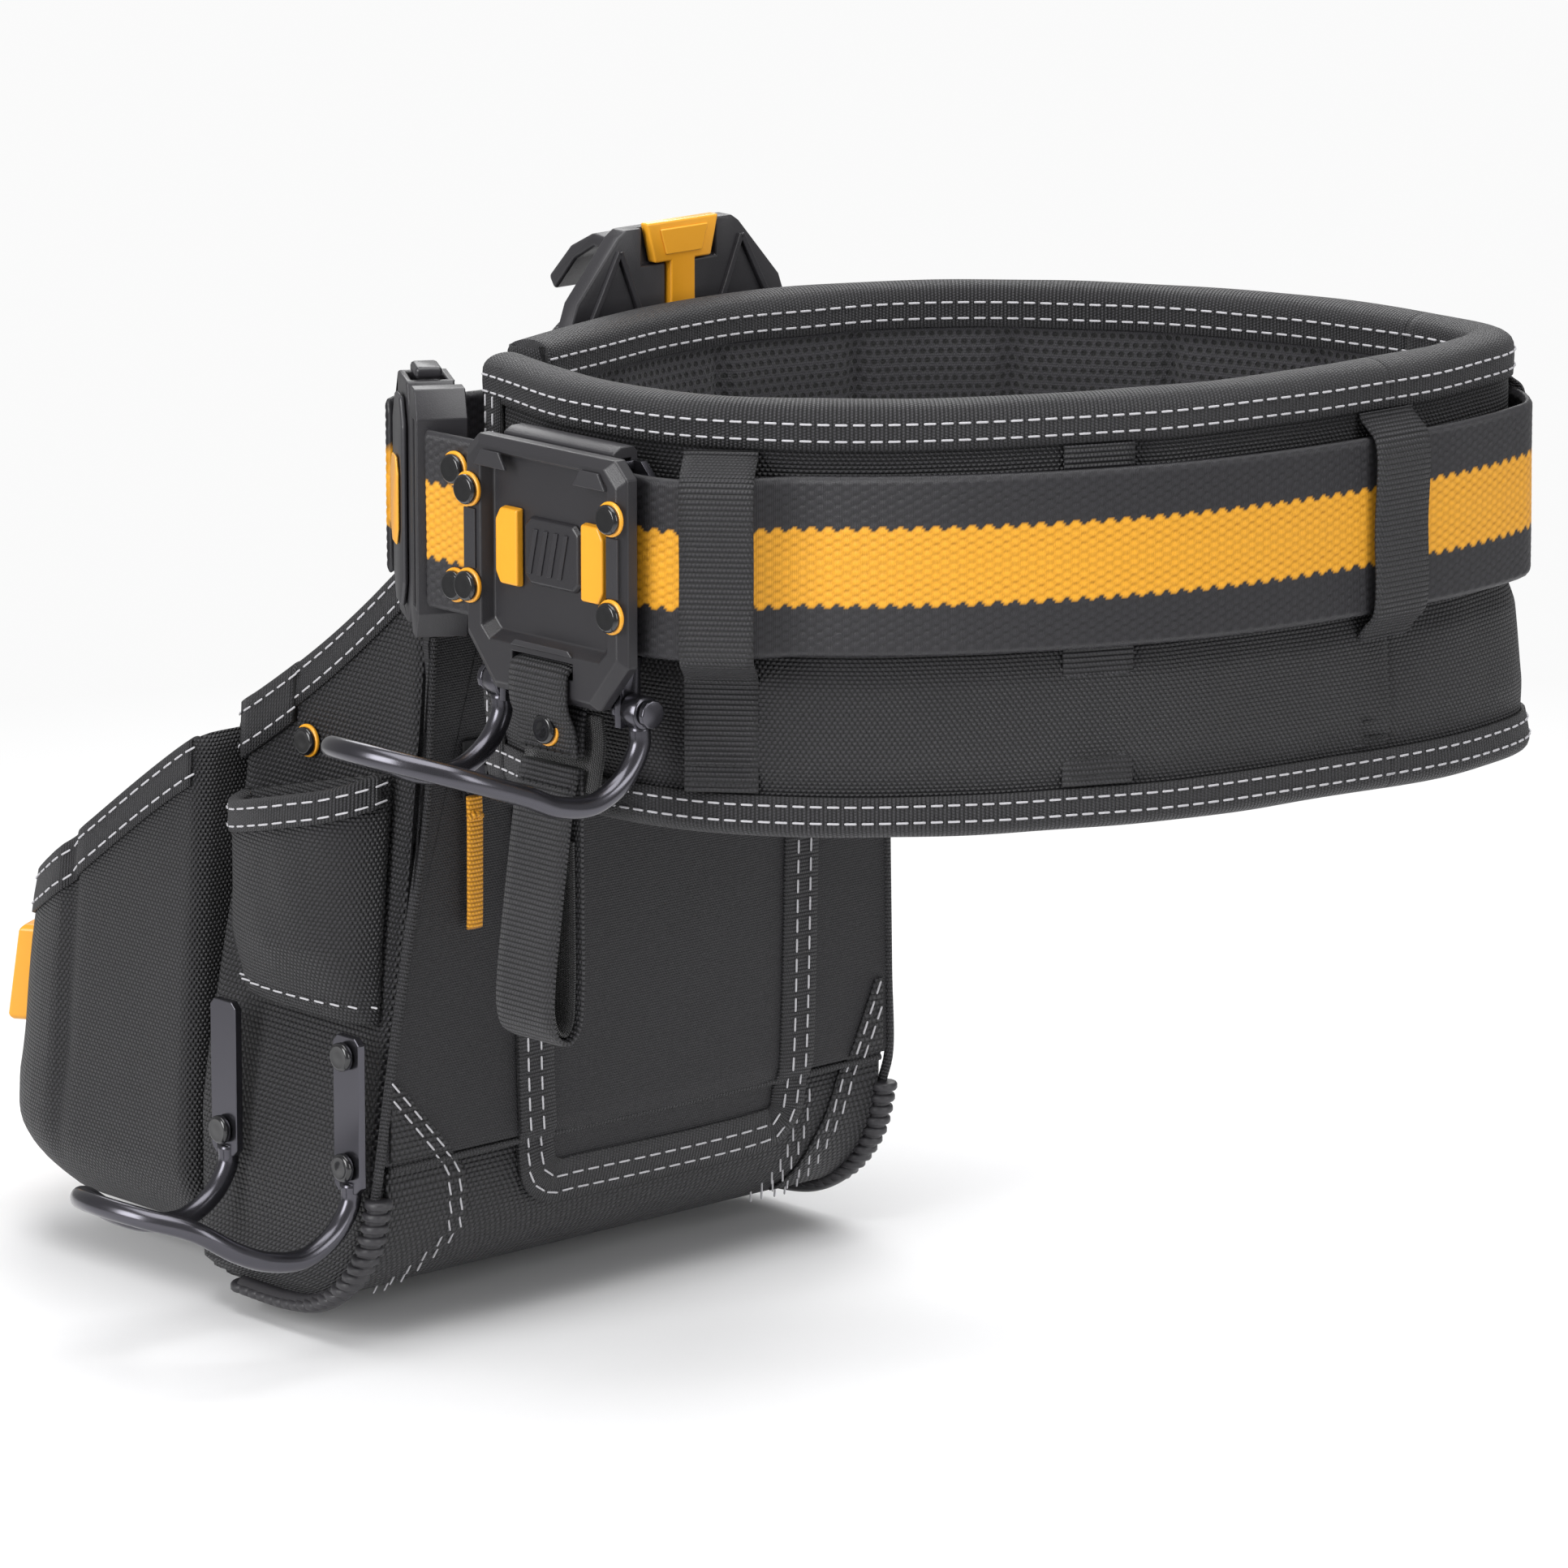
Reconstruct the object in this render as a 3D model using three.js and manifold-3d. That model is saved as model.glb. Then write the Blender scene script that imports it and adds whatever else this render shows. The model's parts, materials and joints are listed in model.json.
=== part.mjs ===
// Padded tool belt with a riveted hammer holder and a clip-on pouch. Millimetres, +Z up.
// The origin is the centre of the waist loop at the webbing's mid-height. +X is the wearer's
// left, -Y the wearer's front, where the buckle is.
import * as THREE from 'three';
import { mergeVertices } from 'three/addons/utils/BufferGeometryUtils.js';
import Module from 'manifold-3d';

const wasm = await Module();
wasm.setup();

// ---- driving dimensions --------------------------------------------------------------------
const gap = 0.3;                                    // air between touching pieces
const webWidth = 52, webThick = 3;                  // two-inch belt webbing
const padTop = 45, padBottom = -79, padThick = 12;
const shellThick = 1.6, liningThick = 2.2;          // outer fabric and air mesh on the foam
const bindHeight = 12, bindThick = 1.3;
const keeperWidth = 21, keeperThick = 1.2;
const rivetHead = 4.4, rivetTall = 2.6;
const ringWire = 3.15, ringHalf = 29, ringDepth = 80; // hammer rings: wire radius, half width, reach
const pouchTurn = THREE.MathUtils.degToRad(122);    // the pouch's width runs along the hip
const pouchFloor = -256, pouchFront = 90, baseRound = 44;   // the back of the base is rounded
const pocketFront = 208, pocketFloor = -246;
const plateTurn = THREE.MathUtils.degToRad(33.7);   // straight webbing stretch beside the buckle
const plateCentre = [56.3, -125.5];
const pouchCentre = [-95.4, -80.3];

// outer face of the pad in plan, from the left front end round the rear to the right front end
const padPlan = [[-2, -140.5], [45, -122], [78, -88], [91, -40], [91, 12], [80, 60], [58, 104],
  [33, 140], [9, 158], [-22, 144], [-58, 110], [-88, 62], [-102, 5], [-96, -38], [-74, -82], [-27, -130]];
// centre line of the webbing where it runs clear of the pad, on each side of the buckle
const webLeftFront = [[6.2, -159], [31, -142.3], [56.3, -125.5], [70, -116.4], [83, -107.7], [91, -95]];
const webRightFront = [[-110.8, -32], [-104.9, -41.5], [-84.8, -73.7], [-61.5, -111], [-58.3, -116.2], [-44, -152.6]];

// ---- materials -----------------------------------------------------------------------------
const finish = (color, roughness, metalness = 0) =>
  new THREE.MeshStandardMaterial({ color, roughness, metalness });
const nylon = finish(0x2b2a2d, 0.9), webbing = finish(0x252427, 0.8), mesh = finish(0x1f1e20, 0.95);
const foam = finish(0x3a3a3c, 1), tape = finish(0x333135, 0.85), yellowTape = finish(0xf0b028, 0.8);
const plastic = finish(0x37363a, 0.45), yellowPlastic = finish(0xf0b028, 0.4);
const steel = finish(0x1d1c1f, 0.3, 0.9), rubber = finish(0x29282b, 0.6);

const belt = new THREE.Group();
const plateFrame = new THREE.Group();                // x along the webbing, y inwards
const pouchFrame = new THREE.Group();                // x towards the rear, y away from the hip
plateFrame.position.set(...plateCentre, 0);
plateFrame.rotation.z = plateTurn;
pouchFrame.position.set(...pouchCentre, 0);
pouchFrame.rotation.z = pouchTurn;
belt.add(plateFrame, pouchFrame);

function piece(parent, name, geometry, material) {
  const made = new THREE.Mesh(geometry, material);
  made.name = name;
  parent.add(made);
  return made;
}

// ---- geometry helpers ----------------------------------------------------------------------
function closed(positions, faces) {
  const p = (i) => new THREE.Vector3(...positions[i]);
  let volume = 0;
  for (const [a, b, c] of faces) volume += p(a).dot(p(b).cross(p(c)));
  const geometry = new THREE.BufferGeometry();
  geometry.setAttribute('position', new THREE.Float32BufferAttribute(positions.flat(), 3));
  geometry.setIndex(faces.map(([a, b, c]) => (volume < 0 ? [a, c, b] : [a, b, c])).flat());
  return geometry;
}

// closed skin over a row of outlines that all have the same number of points
function loft(rings, capOutline) {
  const n = rings[0].length, faces = [];
  for (let k = 0; k + 1 < rings.length; k++) {
    for (let i = 0; i < n; i++) {
      const a = k * n + i, b = k * n + (i + 1) % n;
      faces.push([a, b, b + n], [a, b + n, a + n]);
    }
  }
  const last = (rings.length - 1) * n;
  for (const [a, b, c] of THREE.ShapeUtils.triangulateShape(capOutline, [])) {
    faces.push([a, c, b], [last + a, last + b, last + c]);
  }
  return closed(rings.flat(), faces);
}

// sweeps a section of [outwards, z] points along a plan path of {x, y, nx, ny}
function sweep(path, section) {
  const outline = section.map(([d, z]) => new THREE.Vector2(d, z));
  const flip = THREE.ShapeUtils.isClockWise(outline);
  const points = flip ? [...section].reverse() : section;
  const cap = flip ? [...outline].reverse() : outline;
  return loft(path.map((s) => points.map(([d, z]) => [s.x + s.nx * d, s.y + s.ny * d, z])), cap);
}

const band = (d0, d1, z0, z1) => [[d0, z0], [d1, z0], [d1, z1], [d0, z1]];

function withNormals(points) {
  return points.map((p, i) => {
    const a = points[Math.max(i - 1, 0)], b = points[Math.min(i + 1, points.length - 1)];
    const long = Math.hypot(b.x - a.x, b.y - a.y);
    return { x: p.x, y: p.y, nx: (b.y - a.y) / long, ny: (a.x - b.x) / long };
  });
}

function spline(points) {
  return new THREE.CatmullRomCurve3(points.map(([x, y, z = 0]) => new THREE.Vector3(x, y, z)), false,
    'centripetal');
}

function stretch(curve, from, to, steps) {
  const points = [];
  for (let i = 0; i <= steps; i++) points.push(curve.getPointAt(from + (to - from) * i / steps));
  return withNormals(points);
}

function extrude(points, depth, holes = []) {
  const shape = new THREE.Shape(points.map(([x, y]) => new THREE.Vector2(x, y)));
  for (const hole of holes) shape.holes.push(new THREE.Path(hole.map(([x, y]) => new THREE.Vector2(x, y))));
  return new THREE.ExtrudeGeometry(shape, { depth, bevelEnabled: false });
}

// outline in x and z, thickness from y0 to y1
const upright = (points, y0, y1, holes = []) =>
  extrude(points, y1 - y0, holes).rotateX(Math.PI / 2).translate(0, y1, 0);

// outline in y and z, width from x0 to x1
const sideways = (points, x0, x1, holes = []) =>
  extrude(points, x1 - x0, holes).applyMatrix4(new THREE.Matrix4().makeBasis(
    new THREE.Vector3(0, 1, 0), new THREE.Vector3(0, 0, 1), new THREE.Vector3(1, 0, 0)))
    .translate(x0, 0, 0);

const flat = (points, z0, z1) => extrude(points, z1 - z0).translate(0, 0, z0);

function box(x0, x1, y0, y1, z0, z1) {
  return new THREE.BoxGeometry(x1 - x0, y1 - y0, z1 - z0)
    .translate((x0 + x1) / 2, (y0 + y1) / 2, (z0 + z1) / 2);
}

function solid(geometry) {
  const bare = geometry.clone();
  bare.deleteAttribute('normal');
  bare.deleteAttribute('uv');
  const merged = mergeVertices(bare, 1e-4);
  return new wasm.Manifold(new wasm.Mesh({ numProp: 3,
    vertProperties: new Float32Array(merged.attributes.position.array),
    triVerts: new Uint32Array(merged.index.array) }));
}

function skinOf(manifold) {
  const result = manifold.getMesh();
  const geometry = new THREE.BufferGeometry();
  geometry.setAttribute('position', new THREE.Float32BufferAttribute(result.vertProperties, 3));
  geometry.setIndex([...result.triVerts]);
  return geometry;
}

const join = (...parts) => skinOf(parts.map(solid).reduce((a, b) => a.add(b)));
const cut = (whole, ...tools) => skinOf(tools.map(solid).reduce((a, b) => a.subtract(b), solid(whole)));

// round rivet or pin: profile of [radius, along] points turned about the Y axis
function turned(profile, sides = 12) {
  return new THREE.LatheGeometry(profile.map(([r, y]) => new THREE.Vector2(r, y)), sides);
}

function rivet(head = rivetHead, tall = rivetTall) {
  return turned([[0, 0], [head, 0], [head, tall * 0.55], [head * 0.8, tall], [0, tall]]);
}

// octagonal wire along a curve
function wire(curve, radius, steps) {
  const side = new THREE.Shape();
  for (let i = 0; i < 8; i++) {
    const a = (i + 0.5) * Math.PI / 4;
    const [x, y] = [radius * Math.cos(a), radius * Math.sin(a)];
    if (i) side.lineTo(x, y); else side.moveTo(x, y);
  }
  return new THREE.ExtrudeGeometry(side, { steps, extrudePath: curve, bevelEnabled: false });
}

// rounded rectangle in plan, counter-clockwise
function roundedPlan(x0, x1, y0, y1, rBack, rFront, steps = 4) {
  const corners = [[x1 - rFront, y1 - rFront, rFront, 0], [x0 + rFront, y1 - rFront, rFront, 90],
    [x0 + rBack, y0 + rBack, rBack, 180], [x1 - rBack, y0 + rBack, rBack, 270]];
  return corners.flatMap(([cx, cy, r, start]) => Array.from({ length: steps + 1 }, (_, i) => {
    const a = THREE.MathUtils.degToRad(start + 90 * i / steps);
    return [cx + r * Math.cos(a), cy + r * Math.sin(a)];
  }));
}

// ---- padded belt ---------------------------------------------------------------------------
const padCurve = spline(padPlan);
const padSteps = 60, padSplit = 30;                  // the belt bends open at the rear centre
const padPath = stretch(padCurve, 0, 1, padSteps);
const shifted = (s, by) => ({ ...s, x: s.x - s.ny * by, y: s.y + s.nx * by });
const halves = {
  left: [...padPath.slice(0, padSplit), shifted(padPath[padSplit], -gap)],
  right: [shifted(padPath[padSplit], gap), ...padPath.slice(padSplit + 1)],
};

function padHalf(side, path) {
  const out = -shellThick, inside = -padThick + liningThick;
  piece(belt, `pad_shell_${side}`, sweep(path, band(out, 0, padBottom + 1, padTop - 1)), nylon);
  piece(belt, `pad_foam_${side}`,
    sweep(path, band(inside + gap, out - gap, padBottom + 1, padTop - 1)), foam);
  piece(belt, `pad_lining_${side}`, sweep(path, band(-padThick, inside, padBottom + 1, padTop - 1)), mesh);
  for (const [name, edge, way] of [['top', padTop, 1], ['bottom', padBottom, -1]]) {
    const outer = bindThick + gap, inner = -padThick - gap, foot = edge - way * bindHeight;
    const crown = edge - way * (1 - gap);
    piece(belt, `binding_${name}_${side}`, sweep(path, [[gap, foot], [outer, foot],
      [outer, edge - way], [outer - 2.5, edge + way * 0.6], [inner + 1.4, edge + way * 0.6],
      [inner - bindThick, edge - way], [inner - bindThick, foot], [inner, foot], [inner, crown],
      [gap, crown]]), tape);
  }
}
padHalf('left', halves.left);
padHalf('right', halves.right);

// ---- webbing: pulled straight beside the buckle, then flat on the pad ------------------------
const webGap = 3.6;                                  // pad face to the webbing's centre line
const rearSlack = 3, slackSteps = 9;                // the webbing bridges the rear bend
function offsetPoints(path, from, to) {
  return path.slice(from, to).map((s) => {
    const near = Math.max(0, 1 - Math.abs(padPath.findIndex((q) => q.nx === s.nx) - padSplit) / slackSteps);
    const d = webGap + rearSlack * near;
    return [s.x + s.nx * d, s.y + s.ny * d];
  });
}
const splitNormal = (s) => ({ ...s, nx: padPath[padSplit].nx, ny: padPath[padSplit].ny });
function webStretch(points, endAtSplit) {
  const path = stretch(spline(points), 0, 1, 34);
  return path.map((s, i) => (i === (endAtSplit ? 34 : 0) ? splitNormal(s) : s));
}
const webLeft = webStretch([...webLeftFront, ...offsetPoints(halves.left, 10, 31)], true);
const webRight = webStretch([...offsetPoints(halves.right, 0, 16), ...webRightFront], false);
const half = webThick / 2, webHalf = webWidth / 2;
piece(belt, 'webbing_left', sweep(webLeft, band(-half, half, -webHalf, webHalf)), webbing);
piece(belt, 'webbing_right', sweep(webRight, band(-half, half, -webHalf, webHalf)), webbing);

// ---- keepers: narrow tape bands sewn to the pad above and below the webbing -----------------
function straightBand(middle) {
  return [-keeperWidth / 2, keeperWidth / 2].map((s) => (
    { ...middle, x: middle.x - middle.ny * s, y: middle.y + middle.nx * s }));
}
function keeper(name, middle, webDistance = webGap) {
  const reach = webDistance + half + 3 * gap;
  const bend = straightBand(middle);
  const t = keeperThick, foot = 0.9, low = -webHalf - 3, high = webHalf + 3;
  piece(belt, name, sweep(bend, [[foot, padBottom + 14], [foot + t, padBottom + 14],
    [foot + t, low - 3], [reach + t, low + 2.4], [reach + t, high - 2.4], [foot + t, high + 1],
    [foot + t, padTop - 13.2], [foot, padTop - 13.2], [foot, high + 0.6], [reach, high - 2.7],
    [reach, low + 2.7], [foot, low - 2.6]]), tape);
}
keeper('keeper_left_front', { x: 80.6, y: -86.5, nx: 0.963, ny: -0.27 }, 11.4);
piece(belt, 'keeper_left_side', sweep(straightBand(halves.left[17]),  // this one runs under the webbing
  band(0.5, 0.5 + keeperThick, padBottom + 14, padTop - 13.2)), tape);
keeper('keeper_left_rear', halves.left[25], webGap + 1.8);
keeper('keeper_rear', halves.right[2], webGap + 2.6);
keeper('keeper_right_side', halves.right[11]);

// ---- buckle --------------------------------------------------------------------------------
const buckleY = -155, buckleHalf = 35.5;             // the buckle stands taller than the webbing
function buckleOutline(x0, x1, tall, corner) {
  return [[x0 + corner, -tall], [x1 - corner, -tall], [x1, -tall + corner * 1.6], [x1, tall - corner * 1.6],
    [x1 - corner, tall], [x0 + corner, tall], [x0, tall - corner * 1.6], [x0, -tall + corner * 1.6]];
}
const inDepth = (from, to) => [buckleY + from, buckleY + to];
piece(belt, 'buckle_socket', cut(upright(buckleOutline(-42, -12, buckleHalf, 6), ...inDepth(-7.2, 7)),
  box(-32, 0, ...inDepth(-3.4, 3.4), -30, 30), box(-34, -20, ...inDepth(-5, 5), 32.5, 50),
  box(-34, -20, ...inDepth(-5, 5), -50, -32.5), box(-39.6, -34.4, ...inDepth(-9, 9), -27.5, 27.5)), plastic);
piece(belt, 'buckle_cover', upright(buckleOutline(-33.6, -14, 31, 5), ...inDepth(-9.2, -7.5)), plastic);
piece(belt, 'buckle_badge', upright(buckleOutline(-30.5, -17.5, 13, 3), ...inDepth(-10.3, -9.5)), yellowPlastic);
piece(belt, 'buckle_prongs', join(
  upright(buckleOutline(-11.6, 4.6, 36.5, 5), ...inDepth(-7.4, 7.6),
    [[[-5, -27.5], [0.4, -27.5], [0.4, 27.5], [-5, 27.5]]]),
  box(-23, -9, ...inDepth(-1.9, 1.9), 14, 26), box(-23, -9, ...inDepth(-1.9, 1.9), -26, -14),
  box(-23, -9, ...inDepth(-1.9, 1.9), -4, 4)), plastic);
for (const [name, way] of [['top', 1], ['bottom', -1]]) {
  const levels = [way * (buckleHalf - 0.2), way * (buckleHalf + 3.4)].sort((p, q) => p - q);
  piece(belt, `buckle_button_${name}`, box(-33, -21, ...inDepth(-4, 4), ...levels), plastic);
}
const tailPath = stretch(spline([[-53.5, -142.8], [-51.1, -146.4], [-48.6, -152.2], [-46.8, -161], [-42.5, -163.9]]),
  0, 1, 12);
piece(belt, 'webbing_tail', sweep(tailPath, band(-1.2, 1.2, -webHalf, webHalf)), webbing);

// ---- hammer holder on the straight stretch: x along the webbing, -y outwards ------------------
const plateFace = -11.6, plateBack = -5.4;           // front plate, thickness along y
const plateHalf = 33.5, plateTop = 31, plateLow = -42;
const pivotZ = -42, armY = -1;                     // the ring's pins
const rivetX = 29.75, rivetZ = [15, -13];
const chamfered = (w, top, low, c, lowC, lowW) => [[-w, low + lowC], [-lowW, low], [lowW, low],
  [w, low + lowC], [w, top - c], [w - c, top], [-w + c, top], [-w, top - c]];
const recessFace = -7.4, insertShift = 1.6, strapHalf = 11.8, slot = [-34.2, -29.6];
piece(plateFrame, 'holder_plate', cut(
  upright(chamfered(plateHalf, plateTop, plateLow, 5, 14, 22), plateFace, plateBack),
  box(-24, 25.4, plateFace - 1, recessFace, -25, 26),
  box(-strapHalf - 0.8, strapHalf + 0.8, plateFace - 1, plateBack + 1, ...slot)), plastic);
piece(plateFrame, 'holder_bracket', cut(join(
  upright(chamfered(31, 29, -27.5, 4, 5, 27), half + gap, half + 2.6),
  box(-24, 24, plateBack + gap, half + 2.6, 26.5, 29),
  box(-25, 25, plateBack + gap, half + 2.6, -29.4, -26.5),
  box(-25.4, -23, armY - 3.8, 3, pivotZ - 5, -27), box(23, 25.4, armY - 3.8, 3, pivotZ - 5, -27)),
  turned([[0, -40], [2.3, -40], [2.3, 40], [0, 40]]).rotateZ(Math.PI / 2).translate(0, armY, pivotZ)), steel);
for (const [name, x] of [['left', -rivetX], ['right', rivetX]]) {
  for (const [level, z] of [['upper', rivetZ[0]], ['lower', rivetZ[1]]]) {
    piece(plateFrame, `holder_rivet_${name}_${level}`,
      rivet().rotateX(Math.PI).translate(x, plateFace - gap, z), steel);
  }
  const way = Math.sign(x);
  piece(plateFrame, `holder_insert_${name}`, upright([[way * 13, -11.5], [way * 20.5, -11.5],
    [way * 22.6, -8], [way * 22.6, 8], [way * 20.5, 11.5], [way * 13, 11.5]], recessFace - 2.6, recessFace - gap)
    .translate(insertShift, 0, 0), yellowPlastic);
  piece(plateFrame, `ring_pin_${name}`, turned([[0, 20.6], [3.6, 20.6], [3.6, 22.4], [2, 22.4], [2, 32.9],
    [4.2, 32.9], [4.2, 35], [0, 35]]).rotateZ(-way * Math.PI / 2).translate(0, armY, pivotZ), steel);
}
piece(plateFrame, 'holder_badge', box(insertShift - 12, insertShift + 12, recessFace - 1.8, recessFace - gap, -10, 10),
  plastic);

// the ring's path: down from the pins, outwards, then across in a half circle
const ringSide = [[0, -4], [0, -10], [6, -18.5], [17.5, -24], [31.5, -22.5], [43.5, -17.5]];
function ringCurve(out, reach = ringDepth) {          // out: direction of the loop along y
  const arm = (way) => ringSide.map(([d, z]) => new THREE.Vector3(way * ringHalf, out * d, z));
  const round = [];
  for (let i = 1; i < 6; i++) {
    const a = Math.PI * i / 6;
    const d = reach - ringHalf * (1 - Math.sin(a));
    round.push(new THREE.Vector3(-ringHalf * Math.cos(a), out * d, -14.5 + 10.5 * Math.sin(a)));
  }
  return new THREE.CatmullRomCurve3([...arm(-1), ...round, ...arm(1).reverse()], false, 'centripetal');
}
function ringEye(way) {
  return cut(turned([[0, -3.1], [4.8, -3.1], [4.8, 3.1], [0, 3.1]]).rotateZ(Math.PI / 2)
    .translate(way * ringHalf, 0, 0), turned([[0, -6], [2.3, -6], [2.3, 6], [0, 6]])
    .rotateZ(Math.PI / 2).translate(way * ringHalf, 0, 0));
}
piece(plateFrame, 'hammer_ring', join(wire(ringCurve(-1), ringWire, 46), ringEye(-1), ringEye(1))
  .translate(0, armY, pivotZ), steel);

// strap: folded through the slot, riveted, then a hanging teardrop of hook-and-loop tape
const strapRivetZ = -50;
piece(plateFrame, 'strap_fold', sideways([[-13.7, -31], [-12.6, -30], [-4.6, -30], [-3.3, -31.4],
  [-3.3, -41], [-5.6, -44.5], [-5.6, -58], [-9.4, -58], [-9.8, -45.5], [-13.7, -42.1]], -strapHalf, strapHalf,
  [[[-12, -33.8], [-12, -42.6], [-5, -42.6], [-5, -33.8]]]), tape);
piece(plateFrame, 'strap_rivet', rivet().rotateX(Math.PI).translate(1, -9.8 - gap, strapRivetZ), steel);
const tear = [[-5.8, -60.6], [-7.3, -58.4], [-7.9, -58.4], [-9.4, -60.6], [-13.5, -80], [-18, -110], [-19.5, -131], [-17.4, -139],
  [-12, -141.4], [-7.5, -137], [-6, -126], [-6, -105], [-6.6, -80]];
const tearHole = [[-10, -84], [-15.4, -110], [-17, -130.5], [-15.5, -136.4], [-12.2, -138.2], [-9.6, -135.4],
  [-8.4, -125.5], [-8.4, -105], [-8.8, -84]];
piece(plateFrame, 'strap_loop', sideways(tear, -strapHalf, strapHalf, [tearHole]), tape);
// the webbing's folded end is held by two rivets between the buckle and the plate
for (const [level, z] of [['upper', 17], ['lower', -17]]) {
  piece(plateFrame, `webbing_rivet_${level}`,
    rivet().rotateX(Math.PI).translate(-46.5, -half - gap, z), steel);
}

// ---- clip hub on the webbing: x along the hip, y outwards -------------------------------------
const clipShift = 8.5;                                // the clip sits nearer the pouch's rear edge
const hubHalf = 44, railInner = 40.4, lipInner = 37;
const hubBack = -10.4, hubFace = -6, lipBack = -2.9, hubFront = -0.9, hubTop = 34, hubLow = -16;
const hubOutline = [[-hubHalf, hubBack], [hubHalf, hubBack], [hubHalf, hubFront], [lipInner, hubFront],
  [lipInner, lipBack], [railInner, lipBack], [railInner, hubFace], [-railInner, hubFace],
  [-railInner, lipBack], [-lipInner, lipBack], [-lipInner, hubFront], [-hubHalf, hubFront]];
piece(pouchFrame, 'belt_hub', flat(hubOutline, hubLow, hubTop).translate(clipShift, 0, 0), plastic);
const clipTop = 66, stemHalf = 4.8;
piece(pouchFrame, 'pouch_clip', cut(join(
  box(-railInner + 0.4, railInner - 0.4, hubFace + 0.4, lipBack - 0.4, hubLow, hubTop + 2),
  box(-lipInner + 0.4, lipInner - 0.4, hubFace + 0.4, -0.4, hubLow, hubTop + 2),
  upright([[-44, hubTop + 1], [44, hubTop + 1], [40, 46], [24, clipTop - 2], [21, clipTop], [-21, clipTop],
    [-24, clipTop - 2], [-40, 46]], hubFace - 0.6, -0.4)),
  box(-stemHalf - 0.5, stemHalf + 0.5, hubFace - 2, hubFace + 1.6, hubTop + 2.6, 57),
  box(-14.6, 14.6, hubFace - 2, hubFace + 1.6, 54.6, clipTop + 2)).translate(clipShift, 0, 0), plastic);
piece(pouchFrame, 'clip_latch', upright([[-stemHalf, hubTop + 3], [stemHalf, hubTop + 3], [stemHalf, 55.2],
  [11, 55.2], [14, clipTop + 1.4], [-14, clipTop + 1.4], [-11, 55.2], [-stemHalf, 55.2]],
  hubFace - 2.6, hubFace + 1.2).translate(clipShift, 0, 0), yellowPlastic);
const hoodOuter = [[0, 62], [10, 63], [20, 58], [30, 47.5]], hoodInner = [[27.4, 43.5], [18, 54], [9, 59], [0, 58]];
piece(pouchFrame, 'clip_hood', sideways([...hoodOuter, ...hoodInner], clipShift - 20, clipShift + 20), plastic);

// ---- pouch -----------------------------------------------------------------------------------
const wall = 2.4, panelThick = 2.2, backY = panelThick + gap;
const lowWidth = 105, lowLevel = -205;
// half widths of the pouch at falling levels; the side towards the buckle flares more
const flare = { levels: [0, -40, -100, lowLevel], front: [81, 82, 86, lowWidth], rear: [97, 97, 99, 101] };
function halfWidth(z, side) {
  const widths = flare[side], i = Math.max(1, flare.levels.findIndex((level) => z >= level));
  const top = flare.levels[i - 1], low = flare.levels[i];
  return z < lowLevel ? widths.at(-1) : widths[i - 1] + (widths[i] - widths[i - 1]) * (top - z) / (top - low);
}
const arch = Array.from({ length: 9 }, (_, i) => {
  const a = Math.PI * i / 8;
  return [clipShift + Math.cos(a) * 55, 12 + 38 * Math.sin(a)];
});
const panelSide = [-40, -100, -190];
piece(pouchFrame, 'pouch_panel', upright([[-84, -206], [84, -206],
  ...[...panelSide].reverse().map((z) => [halfWidth(z, 'rear'), z]), ...arch,
  ...panelSide.map((z) => [-halfWidth(z, 'front'), z])], 0, panelThick), nylon);

// upright tub with a wall all round, a floor, and a mouth cut along a slope
function tub(levels, plan, mouth) {
  const lay = (inset) => {
    const rings = levels.map((z, i) => plan(z, inset).map(([x, y]) =>
      [x, y, i === 0 ? z + inset : z]));
    return loft(rings, plan(levels[0], inset).map(([x, y]) => new THREE.Vector2(x, y)));
  };
  return cut(lay(0), lay(wall), mouth);
}
const roundCentre = pouchFloor + baseRound;
const bodyPlan = (z, inset) => {
  const sunk = Math.max(0, roundCentre - z), tuck = Math.max(0, 4 - (z - pouchFloor)) + inset;
  const back = backY + baseRound - Math.sqrt(Math.max(0, baseRound ** 2 - sunk ** 2)) + inset;
  return roundedPlan(-halfWidth(z, 'front') + tuck, halfWidth(z, 'rear') - tuck, back, pouchFront - tuck, 5, 9);
};
const slope = (y0, z0, y1, z1) => sideways([[y0 - 40, z0 + 40 * (z0 - z1) / (y1 - y0)], [y0, z0], [y1, z1],
  [y1 + 60, z1 - 2], [y1 + 60, 200], [y0 - 40, 200]], -200, 200);
piece(pouchFrame, 'pouch_body', tub([0, 4, 12, 24, 44].map((up) => pouchFloor + up)
  .concat([lowLevel, -100, -40, 0]), bodyPlan, slope(backY, -19, pouchFront, -84)), nylon);

// the front pocket leans out towards its floor
const pocketCorner = 50;
const pocketLean = (z) => pocketFront - 12 * Math.max(0, (z + 215) / 90);
const pocketHalf = (z) => 106 - 6 * Math.max(0, (z + 215) / 90);
const pocketPlan = (z, inset) => {
  const tuck = Math.max(0, 1 - (z - pocketFloor) / 16) ** 2 * 9 + inset;
  return roundedPlan(-pocketHalf(z) + tuck, pocketHalf(z) - tuck, pouchFront + gap + inset,
    pocketLean(z) - tuck, 6, pocketCorner - inset, 5);
};
piece(pouchFrame, 'front_pocket', tub([0, 5, 16, 31, 60, 100, 150].map((up) => pocketFloor + up), pocketPlan,
  slope(pouchFront, -90, pocketFront, -157)), nylon);

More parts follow.
